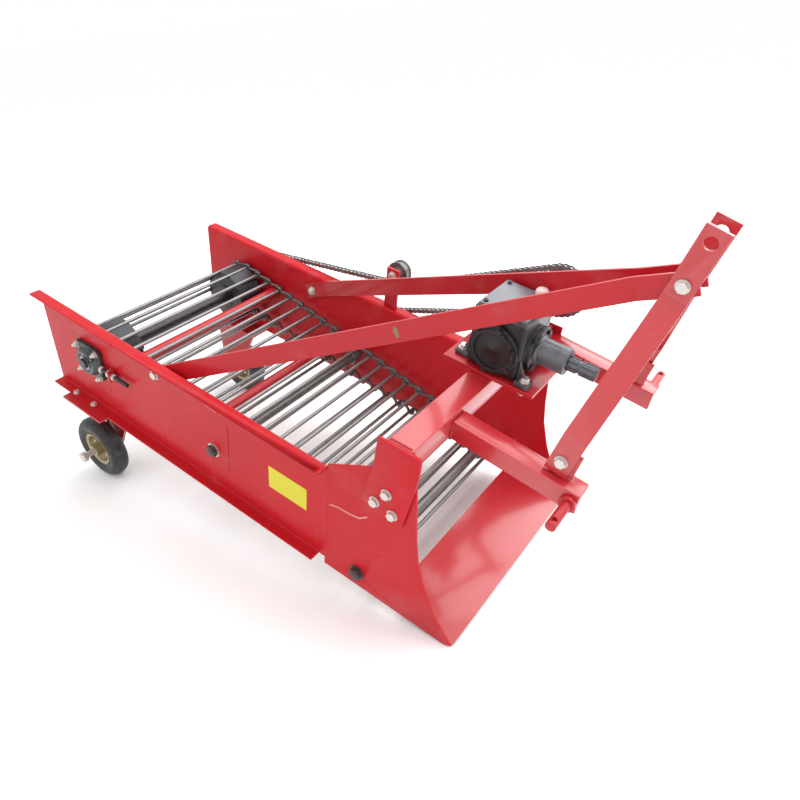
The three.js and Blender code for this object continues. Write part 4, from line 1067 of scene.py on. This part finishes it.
def wheel(name, s):
    """A gauge wheel, its axle and the bolts of its bracket."""
    body = f"wheel_{name}"
    middle = centre(f"tyre_{name}")
    low, high = spot(f"tyre_{name}")
    tyre = tyre_shape(middle, (high.y - low.y) / 2)
    piece(f"tyre_form_{name}", tyre, TYRE, body, f"tyre_{name}", smooth=50)
    rim = rim_shape(middle)
    piece(f"rim_form_{name}", rim, GOLD, body, f"wheel_rim_{name}", smooth=35)
    nuts, circle = Shape(), 32
    for k in range(5):
        x, z = polar(circle, radians(72 * k + 20), middle.x, middle.z)
        for side in BOTH:
            bolt(nuts, (x, middle.y + side * 4.6, z), (0, side, 0), 5.6, 4.6, washer=0)
    piece(f"rim_nuts_{name}", nuts, ZINC, body)
    low, high = spot(f"wheel_axle_{name}")
    near = low.y if s > 0 else high.y
    length = high.y - low.y
    stub = Shape().disc(
        [(0, 2), (10, 2), (10, length - 16), (16, length - 16), (16.5, length - 15), (16.5, length - 3),
         (14, length), (0, length)],
        (middle.x, near, middle.z), (0, s, 0),
    )
    bolt(stub, (middle.x, near + s * 13.4, middle.z), (0, -s, 0), 16, 11)
    piece(f"axle_form_{name}", stub, ZINC, replaces=f"wheel_axle_{name}")
    zinc = Shape()
    flange_top = spot(f"side_plate_{name}")[0].z + SHEET
    bracket_under = spot(f"wheel_bracket_{name}")[1].z - BAR
    y = s * WHEEL_BRACKET_BOLT_Y
    for x in WHEEL_BRACKET_BOLTS:
        bolt(zinc, (x, y, flange_top), UP, 8.5, 6)
        bolt(zinc, (x, y, bracket_under), (0, 0, -1), 8.5, 7, thread=4)
    piece(f"wheel_bracket_bolts_{name}", zinc, ZINC)


# ---- marks ----
def marks():
    """The blank label, scratches, a worn patch on the brace and bumps under the paint."""
    label = Shape().prism([(902, -119), (1026, -119), (1026, -191), (902, -191)], -OUTER - 0.6, -OUTER)
    piece("blank_label", label, YELLOW, smooth=40)
    scratch = Shape()
    line = [(1098, -116), (1122, -108), (1157, -106), (1185, -99), (1207, -79)]
    scratch.bar([(x, -OUTER - 0.3, z) for x, z in line], 2.6, 8)
    scratch.bar([(686, -OUTER - 0.1, -47), (706, -OUTER - 0.2, -49), (726, -OUTER - 0.1, -49)], 1.6, 8)
    piece("scratches", scratch, SCRAPE, smooth=60)
    outward = BRACE_DOWN.cross(BRACE_RUN).normalized() * 0.3
    rim = [
        BRACE_EDGE + BRACE_RUN * share + BRACE_DOWN * drop
        for share, drop in ((0.566, 0.16), (0.572, 0.28), (0.571, 0.75), (0.565, 0.76), (0.561, 0.39))
    ]
    patch = Shape().slab([p - outward for p in rim], [p + outward for p in rim])
    piece("brace_worn_patch", patch, WORN_PATCH, smooth=40)
    bumps = Shape()
    for x, z in ((263, -228), (492, -274), (308, -49)):
        bumps.disc([(0, -1), (5, -1), (3.5, 1.0), (0, 1.6)], (x, -OUTER, z), (0, -1, 0), 20)
    piece("paint_bumps", bumps, PLATE, smooth=60)


# ---- camera, floor, light and background ----
def camera():
    lens = bpy.data.cameras.new("camera")
    lens.lens, lens.sensor_width = CAMERA_LENS, 36.0
    lens.clip_start = 0.02
    eye = placed("camera", lens)
    place = CHASSIS @ CAMERA_PLACE
    look = (CHASSIS @ CAMERA_TARGET - place).to_track_quat("-Z", "Y").to_matrix()
    turned = look @ Matrix.Rotation(CAMERA_ROLL, 3, "Z")
    eye.matrix_world = Matrix.Translation(place) @ turned.to_4x4()
    bpy.context.scene.camera = eye


def floor():
    mesh = bpy.data.meshes.new("floor")
    mesh.from_pydata([(u * FLOOR_REACH, v * FLOOR_REACH, 0) for u, v in CORNERS], [], [(0, 2, 3, 1)])
    mesh.materials.append(Nodes("pale_floor").finish((0.97, 0.97, 0.97), 0.85))
    placed("floor", mesh)


def lamps():
    """Round soft panels, all facing the middle of the machine. Sizes are in metres, power in watts."""
    aim = Vector((0, 0, 0.35))
    for name, place, size, power in (
        ("sky_panel", (0.3, -0.6, 3.4), 3.2, 16.0),
        ("right_panel", (0.2, -3.2, 2.1), 2.4, 9.0),
        ("front_panel", (3.2, 0.4, 1.7), 1.8, 7.0),
        ("left_panel", (0.8, 1.9, 2.6), 4.6, 125.0),
    ):
        light = bpy.data.lights.new(name, "AREA")
        light.shape = "DISK"
        light.size = size
        light.energy = power
        lamp = placed(name, light)
        lamp.location = place
        lamp.rotation_euler = (aim - Vector(place)).to_track_quat("-Z", "Y").to_euler()


def background():
    """White to the camera and in reflections, and an even pale light on everything else."""
    world = bpy.data.worlds.new("studio")
    bpy.context.scene.world = world
    world.use_nodes = True
    new, link = world.node_tree.nodes.new, world.node_tree.links.new
    ambient, output = (world.node_tree.nodes[name] for name in ("Background", "World Output"))
    white = new("ShaderNodeBackground")
    for shade, strength in ((ambient, 1.03), (white, 1.0)):
        shade.inputs["Color"].default_value = (1, 1, 1, 1)
        shade.inputs["Strength"].default_value = strength
    path = new("ShaderNodeLightPath")
    seen = new("ShaderNodeMath")
    seen.operation = "MAXIMUM"
    link(path.outputs["Is Camera Ray"], seen.inputs[0])
    link(path.outputs["Is Glossy Ray"], seen.inputs[1])
    blend = new("ShaderNodeMixShader")
    link(seen.outputs[0], blend.inputs["Fac"])
    link(ambient.outputs["Background"], blend.inputs[1])
    link(white.outputs["Background"], blend.inputs[2])
    link(blend.outputs["Shader"], output.inputs["Surface"])
    bpy.context.scene.view_settings.view_transform = "Standard"


side_plates()
frame_parts()
seams()
rod_web()
rear_drive()
bearings()
rollers()
hitch_bolts()
frame_bolts()
gearbox()
chain()
sprockets()
idler()
for label, side in SIDES:
    wheel(label, side)
marks()
camera()
floor()
lamps()
background()
